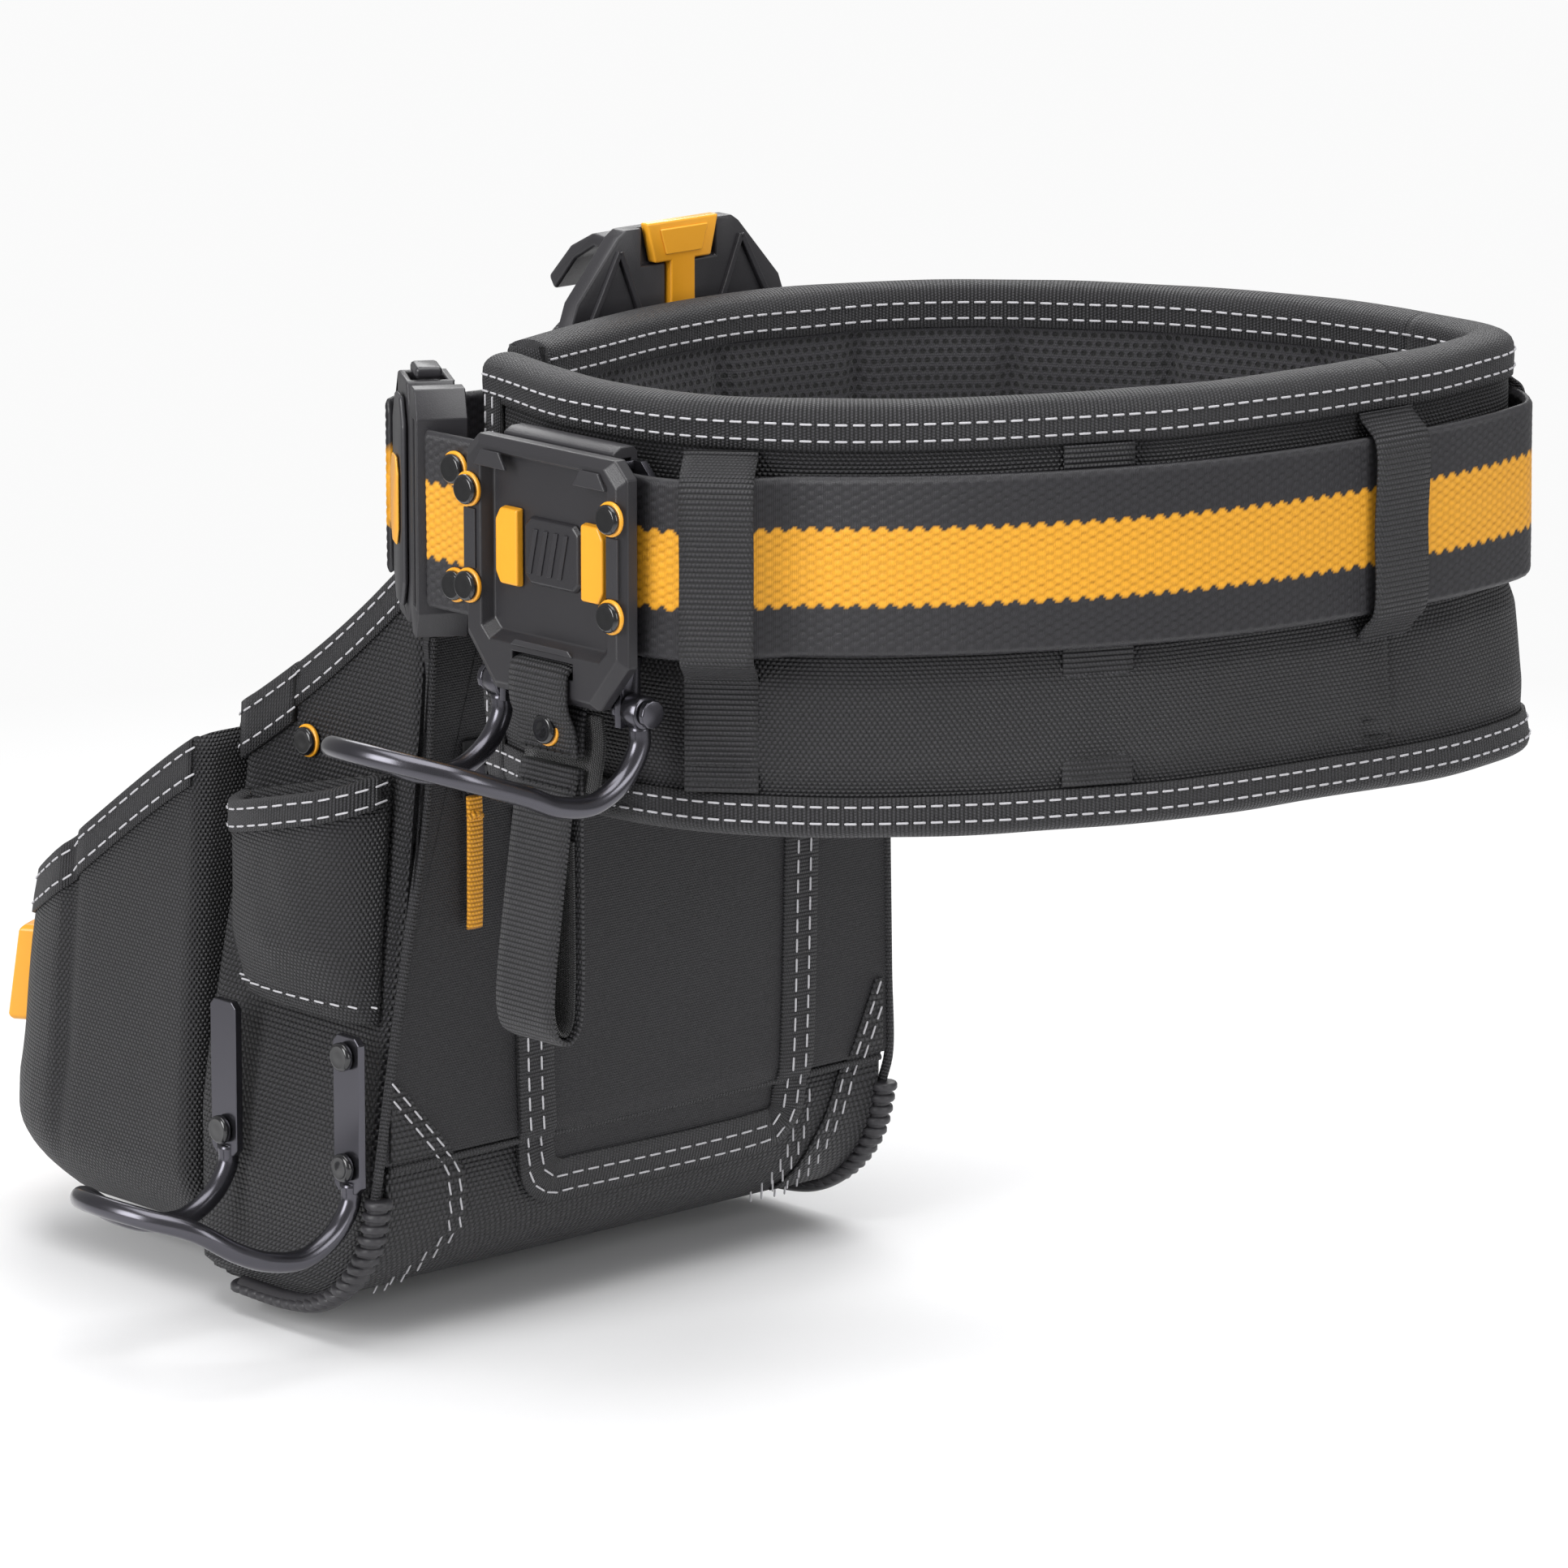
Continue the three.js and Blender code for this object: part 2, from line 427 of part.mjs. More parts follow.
// moulded badge that follows the pocket's curved front
const badgeReach = 34, badgeThick = 6.5, badgeLow = -203, badgeTall = 31;
function badgePlan(z) {
  const straight = pocketHalf(z) - pocketCorner, centre = pocketLean(z) - pocketCorner;
  const side = (r, way) => [0, 0.5, 1].map((t) => {
    const a = THREE.MathUtils.degToRad(badgeReach * t);
    return [way * (straight + r * Math.sin(a)), centre + r * Math.cos(a)];
  });
  const face = (r) => [...side(r, -1).reverse(), ...side(r, 1)];
  return [...face(pocketCorner + gap), ...face(pocketCorner + gap + badgeThick).reverse()];
}
piece(pouchFrame, 'front_badge', loft([badgeLow, badgeLow + badgeTall].map((z) => badgePlan(z)
  .map(([x, y]) => [x, y, z])), badgePlan(badgeLow).map(([x, y]) => new THREE.Vector2(x, y))), yellowPlastic);

// small sleeve for a knife on the side wall that faces the buckle
const sleeve = { low: -164.5, rear: 14.5, front: 82 };
const sleevePlan = (z, inset) => {
  const deep = (z < sleeve.low + 8 ? 12 : 18) - 2 * inset, sunk = Math.max(0, -100 - z) / 65;
  const y0 = sleeve.rear - 8 * sunk + inset, y1 = sleeve.front - 15 * sunk - inset;
  const x = -halfWidth(z, 'front') - gap - inset;
  return Array.from({ length: 9 }, (_, i) => {
    const a = Math.PI * i / 8;
    return [x - deep * Math.sin(a) ** 0.6, (y0 + y1) / 2 - (y1 - y0) / 2 * Math.cos(a)];
  }).reverse();
};
piece(pouchFrame, 'knife_sleeve', tub([sleeve.low, -155, -120, -100, -70], sleevePlan,
  slope(sleeve.rear, -91, sleeve.front, -107)), nylon);

// fixed hammer ring on the same side wall: flat bars, then the same wire loop, reaching less far
const barY = [8.5, 66.5], barTop = -166, barLow = -214, barX = -lowWidth - 4.2;
piece(pouchFrame, 'pouch_ring', join(wire(ringCurve(-1, ringDepth - 9), ringWire, 46).translate(0, 0, barLow + 7),
  box(-ringHalf - 6, -ringHalf + 6, -1.3, 1.3, barLow, barTop),
  box(ringHalf - 6, ringHalf + 6, -1.3, 1.3, barLow, barTop))
  .rotateZ(-Math.PI / 2).translate(barX, (barY[0] + barY[1]) / 2, 0), steel);
for (const [name, y, z] of [['rear_upper', barY[0], -6], ['rear_lower', barY[0], -40], ['front_lower', barY[1], -40]]) {
  piece(pouchFrame, `pouch_ring_rivet_${name}`, rivet().rotateZ(Math.PI / 2)
    .translate(barX - 1.7, y, barTop + z), steel);
}

// ribbed rubber guards round the rounded base, one on each side
for (const [name, way, side] of [['left', -1, lowWidth], ['right', 1, flare.rear.at(-1)]]) {
  const round = [7, 27, 48, 69, 90].map((degrees) => {
    const a = THREE.MathUtils.degToRad(degrees), r = baseRound + 2.6;
    return [side + 2.6 - 2 * Math.sin(a) ** 4, backY + baseRound - r * Math.cos(a), roundCentre - r * Math.sin(a)];
  });
  const guard = new THREE.CatmullRomCurve3([...round, [side + 0.6, 68, roundCentre - baseRound - 2.6]]
    .map(([x, y, z]) => new THREE.Vector3(way * x, y, z)), false, 'centripetal');
  piece(pouchFrame, `edge_guard_${name}`, wire(guard, 4, 20), rubber);
}

// zipped pocket on the face that lies against the hip
const flapThick = 1.8;
piece(pouchFrame, 'back_pocket', upright([[-49, -229], [59, -229], [65, -223], [70, -104], [-54, -104],
  [-54, -223]], -flapThick - gap, -gap), nylon);
const zipZ = -90;
piece(pouchFrame, 'zip_tape', box(-72, 72, -1.5, -gap, zipZ - 9, zipZ + 9), tape);
piece(pouchFrame, 'zip_slider', box(-73.5, -66.5, -4.6, -1.8, zipZ - 6, zipZ + 5), steel);
piece(pouchFrame, 'zip_pull', box(-73, -67, -4.4, -2.4, zipZ - 48, zipZ - 6.4), yellowTape);

export default belt;
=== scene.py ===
import json
import math

import bmesh
import bpy
import numpy as np
from mathutils import Matrix, Vector

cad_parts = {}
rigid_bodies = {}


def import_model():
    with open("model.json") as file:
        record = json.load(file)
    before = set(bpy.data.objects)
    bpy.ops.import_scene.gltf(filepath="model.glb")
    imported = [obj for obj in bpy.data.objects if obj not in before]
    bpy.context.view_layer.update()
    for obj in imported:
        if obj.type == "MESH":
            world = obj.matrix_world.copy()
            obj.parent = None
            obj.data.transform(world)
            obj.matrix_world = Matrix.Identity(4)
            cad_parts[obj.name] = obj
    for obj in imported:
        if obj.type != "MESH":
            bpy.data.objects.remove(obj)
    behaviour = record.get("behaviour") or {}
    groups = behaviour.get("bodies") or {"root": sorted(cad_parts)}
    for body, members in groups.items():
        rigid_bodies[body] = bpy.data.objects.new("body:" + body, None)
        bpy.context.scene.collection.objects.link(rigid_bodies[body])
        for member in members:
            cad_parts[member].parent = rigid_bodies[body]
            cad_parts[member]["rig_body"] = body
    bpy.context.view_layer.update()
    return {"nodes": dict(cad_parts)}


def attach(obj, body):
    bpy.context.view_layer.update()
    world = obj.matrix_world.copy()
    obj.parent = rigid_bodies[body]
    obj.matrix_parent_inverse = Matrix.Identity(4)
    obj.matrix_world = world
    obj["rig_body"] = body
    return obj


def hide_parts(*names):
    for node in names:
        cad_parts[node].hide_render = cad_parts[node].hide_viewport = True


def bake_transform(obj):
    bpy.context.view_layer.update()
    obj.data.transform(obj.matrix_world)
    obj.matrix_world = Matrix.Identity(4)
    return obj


# A padded tool belt with a hammer holder and a clip-on pouch. Lengths are in mm until a mesh is made.
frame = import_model()
mm = 0.001
print("frame loaded:", len(frame["nodes"]), "nodes")


def placeAt(degrees, x, y):
    turn = Matrix.Rotation(math.radians(degrees), 4, "Z")
    return Matrix.Translation((x * mm, y * mm, 0)) @ turn @ Matrix.Scale(mm, 4)


inWorld = Matrix.Scale(mm, 4)
onPlate = placeAt(33.7, 56.3, -125.5)  # x along the webbing, y towards the wearer
onPouch = placeAt(122, -95.4, -80.3)  # x towards the rear, y away from the hip


# ---------- camera, light and floor
stage = {"eye": (2.722, -0.5344, 0.569), "forward": (-0.9584, 0.1690, -0.2300),
         "right": (0.1736, 0.9848, 0), "lens": 223.6, "floor": -0.2655, "floorColour": "#f1f1f2"}


def makeCamera():
    cam = bpy.data.objects.new("camera", bpy.data.cameras.new("camera"))
    bpy.context.scene.collection.objects.link(cam)
    forward = Vector(stage["forward"]).normalized()
    right = Vector(stage["right"]).normalized()
    up = right.cross(forward)
    turn = Matrix((right, up, -forward)).transposed().to_4x4()
    cam.matrix_world = Matrix.Translation(stage["eye"]) @ turn
    cam.data.lens = stage["lens"]
    cam.data.sensor_width = 36
    cam.data.clip_end = 50
    bpy.context.scene.camera = cam


def areaLight(name, position, target, size, power, colour=(1, 1, 1)):
    light = bpy.data.lights.new(name, "AREA")
    light.shape = "RECTANGLE"
    light.size, light.size_y = size
    light.energy = power
    light.color = colour
    lamp = bpy.data.objects.new(name, light)
    bpy.context.scene.collection.objects.link(lamp)
    lamp.location = position
    lamp.rotation_mode = "QUATERNION"
    lamp.rotation_quaternion = (Vector(target) - Vector(position)).to_track_quat("-Z", "Y")


# ---------- materials
def linear(code):
    channels = [int(code[i:i + 2], 16) / 255 for i in (1, 3, 5)]
    return [c / 12.92 if c <= 0.04045 else ((c + 0.055) / 1.055) ** 2.4 for c in channels] + [1]


def addNode(tree, kind, settings=None, links=None):
    node = tree.nodes.new(kind)
    for key, value in (settings or {}).items():
        if hasattr(node, key):
            setattr(node, key, value)
        else:
            node.inputs[key].default_value = value
    for socket, source in (links or {}).items():
        tree.links.new(source, node.inputs[socket])
    return node


def maths(tree, operation, a, b=None, c=None):
    node = tree.nodes.new("ShaderNodeMath")
    node.operation = operation
    for i, value in enumerate((a, b, c)):
        if value is None:
            continue
        if isinstance(value, (int, float)):
            node.inputs[i].default_value = value
        else:
            tree.links.new(value, node.inputs[i])
    return node.outputs[0]


def ramp(tree, factor, stops):
    node = tree.nodes.new("ShaderNodeValToRGB")
    tree.links.new(factor, node.inputs[0])
    while len(node.color_ramp.elements) < len(stops):
        node.color_ramp.elements.new(0.5)
    for element, (position, colour) in zip(node.color_ramp.elements, stops):
        element.position = position
        element.color = linear(colour) if isinstance(colour, str) else (colour, colour, colour, 1)
    return node.outputs[0]


def startMaterial(name, colour, roughness, **more):
    material = bpy.data.materials.new(name)
    material.use_nodes = True
    tree = material.node_tree
    shader = tree.nodes["Principled BSDF"]
    shader.inputs["Base Color"].default_value = linear(colour)
    shader.inputs["Roughness"].default_value = roughness
    for key, value in more.items():
        shader.inputs[key].default_value = value
    return material, tree, shader


def giveBump(tree, shader, height, distance, strength=1.0):
    settings = {"Distance": distance * mm, "Strength": strength}
    bump = addNode(tree, "ShaderNodeBump", settings, {"Height": height})
    tree.links.new(bump.outputs[0], shader.inputs["Normal"])


def uvAxes(tree, pitchU, pitchV):
    uv = addNode(tree, "ShaderNodeTexCoord").outputs["UV"]
    parts = addNode(tree, "ShaderNodeSeparateXYZ", None, {0: uv})
    return [maths(tree, "MULTIPLY", part, 1 / (pitch * mm)) for part, pitch in zip(parts.outputs, (pitchU, pitchV))]


def ridges(tree, x, rate=math.pi):
    return maths(tree, "ABSOLUTE", maths(tree, "SINE", maths(tree, "MULTIPLY", x, rate)))


def staggered(tree, x, y):  # every other row moved half a pitch along, as bricks are laid
    row = maths(tree, "MODULO", maths(tree, "FLOOR", y), 2)
    return maths(tree, "ADD", x, maths(tree, "MULTIPLY", row, 0.5))


def crossings(tree, u, v):  # where yarn passes over yarn
    return maths(tree, "MULTIPLY", ridges(tree, staggered(tree, u, v)), ridges(tree, v))


def patches(tree, scale, detail=3):  # slow change over the cloth or moulding, scale per metre
    place = addNode(tree, "ShaderNodeTexCoord").outputs["Object"]
    settings = {"Scale": scale, "Detail": detail}
    return addNode(tree, "ShaderNodeTexNoise", settings, {"Vector": place}).outputs[0]


def mixed(tree, factor, a, b):
    node = tree.nodes.new("ShaderNodeMix")
    node.data_type = "RGBA"
    tree.links.new(factor, node.inputs[0])
    for socket, value in ((node.inputs[6], a), (node.inputs[7], b)):
        if isinstance(value, str):
            socket.default_value = linear(value)
        else:
            tree.links.new(value, socket)
    return node.outputs[2]


def paint(tree, shader, factor, a, b):
    tree.links.new(mixed(tree, factor, a, b), shader.inputs["Base Color"])


def weave(tree, shader, height, tones, worn, yarn, shade, depth):  # worn: how far, and patches per metre
    # the yarn colour falls to painted shade in the gaps between yarn crossings, as the height gives them
    body = mixed(tree, ramp(tree, height, tones), shade, yarn)
    paint(tree, shader, maths(tree, "MULTIPLY", patches(tree, worn[1]), worn[0]), body, shade)
    giveBump(tree, shader, height, depth)


def wovenCloth(name, yarn, shade, pitch, depth, roughness, sheen):
    more = {"Sheen Weight": sheen, "Sheen Roughness": 0.45}
    material, tree, shader = startMaterial(name, yarn, roughness, **more)
    height = crossings(tree, *uvAxes(tree, *pitch))
    weave(tree, shader, height, [(0.1, 0.0), (0.75, 1.0)], (0.35, 45), yarn, shade, depth)
    return material


def ribbedTape(name, yarn, shade, pitch, depth, roughness, sheen):
    material, tree, shader = startMaterial(name, yarn, roughness, **{"Sheen Weight": sheen})
    u, v = uvAxes(tree, *pitch)
    fine = maths(tree, "MULTIPLY", ridges(tree, staggered(tree, v, u)), 0.45)
    height = maths(tree, "MULTIPLY", ridges(tree, u), maths(tree, "ADD", fine, 0.55))
    weave(tree, shader, height, [(0.15, 0.0), (0.9, 1.0)], (0.3, 60), yarn, shade, depth)
    return material


def giveRoughness(tree, shader, rough, swing, scale):
    level = maths(tree, "ADD", maths(tree, "MULTIPLY", patches(tree, scale), swing), rough - swing / 2)
    tree.links.new(level, shader.inputs["Roughness"])


def mouldedPlastic(name, colour, rough, grain, coat=0.0):
    material, tree, shader = startMaterial(name, colour, rough, **{"IOR": 1.5, "Coat Weight": coat})
    giveRoughness(tree, shader, rough, 0.14, 35)
    edge = addNode(tree, "ShaderNodeNewGeometry").outputs["Pointiness"]
    # sharp convex edges are mixed towards a lighter colour: a painted highlight
    paintedEdgeHighlight = maths(tree, "MULTIPLY", ramp(tree, edge, [(0.52, 0.0), (0.66, 1.0)]), 0.35)
    paint(tree, shader, paintedEdgeHighlight, colour, "#f7c65a" if colour.startswith("#e") else "#525155")
    giveBump(tree, shader, patches(tree, 2600, 2), grain)  # spark-eroded grain, about 0.4 mm
    return material


def satinSteel(name, colour, rough):
    material, tree, shader = startMaterial(name, colour, rough, Metallic=0.92)
    giveRoughness(tree, shader, rough, 0.16, 55)
    giveBump(tree, shader, patches(tree, 900, 1), 0.003, 0.5)
    return material


def stripedWebbing(name):  # polyester: black with a golden stripe 20 mm wide, yarn relief is in the mesh
    material, tree, shader = startMaterial(name, "#242326", 0.4, **{"Sheen Weight": 0.03})
    stripe, relief = (addNode(tree, "ShaderNodeAttribute", {"attribute_name": key}).outputs["Fac"]
                      for key in ("stripe", "relief"))
    # both stripe colours darken with the relief into painted shade between the yarns
    black = ramp(tree, relief, [(0.3, "#020202"), (1.0, "#2c2b2f")])
    gold = ramp(tree, relief, [(0.15, "#2e1c02"), (0.55, "#c8860e"), (1.0, "#f6b02a")])
    paint(tree, shader, stripe, black, gold)
    strands = ridges(tree, uvAxes(tree, 1, 1)[0], math.pi / 0.42)
    giveBump(tree, shader, strands, 0.07)  # filaments about 0.4 mm wide run over each yarn
    return material


def airMesh(name):  # knitted spacer mesh: round holes about 1.6 mm wide, 3.1 mm apart
    material, tree, shader = startMaterial(name, "#2c2b2e", 0.8, **{"Sheen Weight": 0.08})
    u, v = uvAxes(tree, 3.1, 2.7)
    x, y = (maths(tree, "SUBTRACT", maths(tree, "FRACT", k), 0.5) for k in (staggered(tree, u, v), v))
    squares = [maths(tree, "POWER", k, 2.0) for k in (x, y)]
    fromHole = maths(tree, "SQRT", maths(tree, "ADD", *squares))
    solidPart = ramp(tree, fromHole, [(0.22, 0.0), (0.38, 1.0)])
    # the holes are painted near-black as the shade inside them
    paint(tree, shader, solidPart, "#040405", "#2e2d31")
    knit = maths(tree, "MULTIPLY", crossings(tree, *uvAxes(tree, 0.8, 0.8)), 0.2)
    giveBump(tree, shader, maths(tree, "ADD", solidPart, knit), 0.9)
    return material


# the second colour of each woven or ribbed cloth is the painted shade in the gaps between its yarns
nylon = wovenCloth("ballistic_nylon_woven", "#38373b", "#08080a", (1.6, 1.2), 0.85, 0.5, 0.04)
smoothNylon = wovenCloth("packcloth_nylon_woven", "#28272b", "#0f0e11", (0.95, 0.8), 0.2, 0.62, 0.05)
baseNylon = wovenCloth("base_nylon_coarse", "#353438", "#08080a", (2.0, 1.6), 0.9, 0.5, 0.04)
tapeCloth = ribbedTape("polyester_grosgrain", "#353438", "#08080a", (1.2, 0.9), 0.6, 0.55, 0.05)
strapCloth = ribbedTape("nylon_strap_webbing", "#343337", "#070709", (1.5, 1.15), 0.8, 0.52, 0.04)
zipCloth = ribbedTape("polyester_zip_tape", "#262528", "#111113", (0.7, 0.6), 0.15, 0.8, 0.05)
cordCloth = ribbedTape("braided_yellow_cord", "#f2aa20", "#b87a10", (1.3, 1.1), 0.45, 0.6, 0.05)
fuzzCloth = wovenCloth("hook_and_loop_pile", "#232225", "#070708", (0.7, 0.7), 0.9, 0.9, 0.25)
webCloth = stripedWebbing("polyester_webbing_striped")
liningCloth = airMesh("spacer_mesh_knitted")
blackPlastic = mouldedPlastic("nylon_moulded_black", "#29282b", 0.38, 0.045)
gripPlastic = mouldedPlastic("nylon_moulded_satin", "#272629", 0.33, 0.03)
yellowPlastic = mouldedPlastic("abs_moulded_yellow", "#efa21a", 0.34, 0.02, 0.2)
blackSteel = satinSteel("steel_black_nickel_plated", "#57565c", 0.24)
capSteel = mouldedPlastic("steel_black_enamel_caps", "#0e0e10", 0.2, 0.004, 0.6)
rubber = mouldedPlastic("rubber_moulded_black", "#2b2a2d", 0.42, 0.08)
thread = startMaterial("polyester_thread_white", "#b9b8bc", 0.6)[0]
darkThread = startMaterial("polyester_thread_black", "#1a1a1c", 0.7)[0]
print("materials made")


# ---------- mesh building
shown = []


def keep(piece, body, slotName, *nodes):
    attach(piece, body)
    if nodes:
        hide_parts(*nodes)
    shown.append(piece)
    return piece


def makeObject(name, mesh, material):
    piece = bpy.data.objects.new(name, mesh)
    bpy.context.scene.collection.objects.link(piece)
    for one in material if isinstance(material, (list, tuple)) else [material]:
        mesh.materials.append(one)
    return piece


def outward(mesh):
    bm = bmesh.new()
    bm.from_mesh(mesh)
    bmesh.ops.recalc_face_normals(bm, faces=bm.faces)
    bm.to_mesh(mesh)
    bm.free()


def gridObject(name, points, material, place=inWorld, uv=None, extra=None):  # rows of loops, ends closed
    points = np.asarray(points, float)
    rows, cols = points.shape[:2]
    turn = np.array(place)
    verts = points.reshape(-1, 3) @ turn[:3, :3].T + turn[:3, 3]
    index = np.arange(rows * cols).reshape(rows, cols)
    beside = np.roll(index, -1, 1)
    quads = np.stack([index[:-1], beside[:-1], beside[1:], index[1:]], -1).reshape(-1, 4)
    mesh = bpy.data.meshes.new(name)
    mesh.from_pydata(verts.tolist(), [], quads.tolist() + [index[0][::-1].tolist(), index[-1].tolist()])
    if uv is not None:
        uv = np.asarray(uv, float) * mm
        if uv.shape[1] == cols:
            uv = np.concatenate([uv, uv[:, :1]], 1)
        i, j = np.arange(rows - 1)[:, None], np.arange(cols)[None, :]
        corners = np.stack([uv[i, j], uv[i, j + 1], uv[i + 1, j + 1], uv[i + 1, j]], 2).reshape(-1, 2)
        layer = mesh.uv_layers.new(name="UVMap")
        layer.data.foreach_set("uv", np.concatenate([corners, uv[0, :cols][::-1], uv[-1, :cols]]).ravel())
    for key, values in (extra or {}).items():
        values = np.asarray(values, np.float32).ravel()
        mesh.attributes.new(key, "FLOAT", "POINT").data.foreach_set("value", values)
    outward(mesh)
    mesh.shade_smooth()
    return makeObject(name, mesh, material)


def unitLong(v, floor=0.0):
    return v / np.maximum(np.linalg.norm(v, axis=-1, keepdims=True), floor)


def upward(z):
    return np.stack([0 * z, 0 * z, z], -1)


def spline(points, per=20):  # centripetal Catmull-Rom through the points
    p = np.array([list(q) + [0] * (3 - len(q)) for q in points], float)
    p = np.vstack([2 * p[0] - p[1], p, 2 * p[-1] - p[-2]])
    line = []
    for p0, p1, p2, p3 in zip(p, p[1:], p[2:], p[3:]):
        d0, d1, d2 = (max(np.linalg.norm(b - a), 1e-6) ** 0.5 for a, b in ((p0, p1), (p1, p2), (p2, p3)))
        t1 = ((p1 - p0) / d0 - (p2 - p0) / (d0 + d1) + (p2 - p1) / d1) * d1
        t2 = ((p2 - p1) / d1 - (p3 - p1) / (d1 + d2) + (p3 - p2) / d2) * d1
        for t in np.arange(per) / per:
            line.append((2 * t ** 3 - 3 * t ** 2 + 1) * p1 + (t ** 3 - 2 * t ** 2 + t) * t1
                        + (3 * t ** 2 - 2 * t ** 3) * p2 + (t ** 3 - t ** 2) * t2)
    return np.array(line + [p[-2]])


class Line:  # a line measured along its length, with the outward normal of a plan path
    def __init__(self, points):
        self.points = np.asarray(points, float)
        self.far = np.concatenate([[0], np.cumsum(np.linalg.norm(np.diff(self.points, axis=0), axis=1))])
        self.length = self.far[-1]

    def at(self, s):
        return self.carry(s, self.points)

    def carry(self, s, values):  # values given at the line's points, read off at s
        return np.stack([np.interp(s, self.far, column) for column in values.T], -1)

    def normal(self, s):
        s = np.asarray(s, float)
        t = self.at(np.minimum(s + 1.5, self.length)) - self.at(np.maximum(s - 1.5, 0))
        t /= np.linalg.norm(t[..., :2], axis=-1, keepdims=True)
        return np.stack([t[..., 1], -t[..., 0], np.zeros(t.shape[:-1])], -1)

    def stations(self, a, b, step):
        return np.linspace(a, b, max(2, int(round(abs(b - a) / step)) + 1))


def ease(x):
    x = np.clip(x, 0, 1)
    return x * x * (3 - 2 * x)


def waves(x, y, seed=0.0):  # gentle unevenness of hand-sewn cloth, from -1 to 1
    x, y = np.broadcast_arrays(np.asarray(x, float), np.asarray(y, float))
    return (np.sin(x * 1.0 + seed) * np.cos(y * 1.3 + seed * 2) + 0.6 * np.sin(x * 2.3 + y * 1.7 + seed * 3)
            + 0.35 * np.sin(x * 4.1 - y * 3.2 + seed * 5)) / 1.95


def bevelled(piece, width, angle=28):
    mod = piece.modifiers.new("edges", "BEVEL")
    mod.width = width * mm
    mod.segments = 2
    mod.limit_method = "ANGLE"
    mod.angle_limit = math.radians(angle)
    mod.harden_normals = True
    mod.use_clamp_overlap = True
    settle(piece)


def settle(piece):  # turns the modifiers' result into the piece's own mesh
    graph = bpy.context.evaluated_depsgraph_get()
    graph.update()
    old = piece.data
    done = piece.evaluated_get(graph)
    mesh = bpy.data.meshes.new_from_object(done, preserve_all_data_layers=True, depsgraph=graph)
    piece.modifiers.clear()
    piece.data = mesh
    mesh.name = piece.name
    bpy.data.meshes.remove(old)


def refine(nodeName, material, slotName, width):  # a hard part with its edges rounded
    node = frame["nodes"][nodeName]
    mesh = node.data.copy()
    bm = bmesh.new()
    bm.from_mesh(mesh)
    bmesh.ops.remove_doubles(bm, verts=bm.verts, dist=1e-6)
    bmesh.ops.dissolve_limit(bm, angle_limit=math.radians(4), verts=bm.verts, edges=bm.edges)
    bmesh.ops.recalc_face_normals(bm, faces=bm.faces)
    bm.to_mesh(mesh)
    bm.free()
    mesh.materials.clear()
    mesh.shade_smooth()
    piece = makeObject(nodeName + "_moulded", mesh, material)
    bevelled(piece, width)
    return keep(piece, node["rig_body"], slotName, nodeName)


# ---------- geometry nodes: one piece repeated along lines or at points
def repeatTree(alongLines):
    tree = bpy.data.node_groups.new("repeat_along" if alongLines else "repeat_at", "GeometryNodeTree")
    for name, way, kind in (("Geometry", "INPUT", "Geometry"), ("Piece", "INPUT", "Object"),
                            ("Pitch", "INPUT", "Float"), ("Finish", "INPUT", "Material"),
                            ("Geometry", "OUTPUT", "Geometry")):
        tree.interface.new_socket(name, in_out=way, socket_type="NodeSocket" + kind)
    given = tree.nodes.new("NodeGroupInput")
    out = tree.nodes.new("NodeGroupOutput")
    facing = addNode(tree, "GeometryNodeInputNamedAttribute", {"data_type": "FLOAT_VECTOR"})
    facing.inputs["Name"].default_value = "facing"
    one = addNode(tree, "GeometryNodeObjectInfo", {}, {"Object": given.outputs["Piece"]})
    upright = addNode(tree, "FunctionNodeAlignRotationToVector", {"axis": "Z"},
                      {"Vector": facing.outputs["Attribute"]})
    if alongLines:
        curve = addNode(tree, "GeometryNodeMeshToCurve", {}, {"Mesh": given.outputs["Geometry"]})
        points = addNode(tree, "GeometryNodeCurveToPoints", {"mode": "LENGTH"},
                         {"Curve": curve.outputs[0], "Length": given.outputs["Pitch"]})
        turn = addNode(tree, "FunctionNodeAlignRotationToVector", {"axis": "X", "pivot_axis": "Z"},
                       {"Rotation": upright.outputs[0], "Vector": points.outputs["Tangent"]})
        source = points.outputs["Points"]
    else:
        points = addNode(tree, "GeometryNodeMeshToPoints", {}, {"Mesh": given.outputs["Geometry"]})
        turn, source = upright, points.outputs[0]
    placed = addNode(tree, "GeometryNodeInstanceOnPoints", {}, {
        "Points": source, "Instance": one.outputs["Geometry"], "Rotation": turn.outputs[0]})
    real = addNode(tree, "GeometryNodeRealizeInstances", {}, {"Geometry": placed.outputs[0]})
    done = addNode(tree, "GeometryNodeSetMaterial", {}, {"Geometry": real.outputs[0],
                                                          "Material": given.outputs["Finish"]})
    tree.links.new(done.outputs[0], out.inputs[0])
    return tree


alongTree = repeatTree(True)
atTree = repeatTree(False)


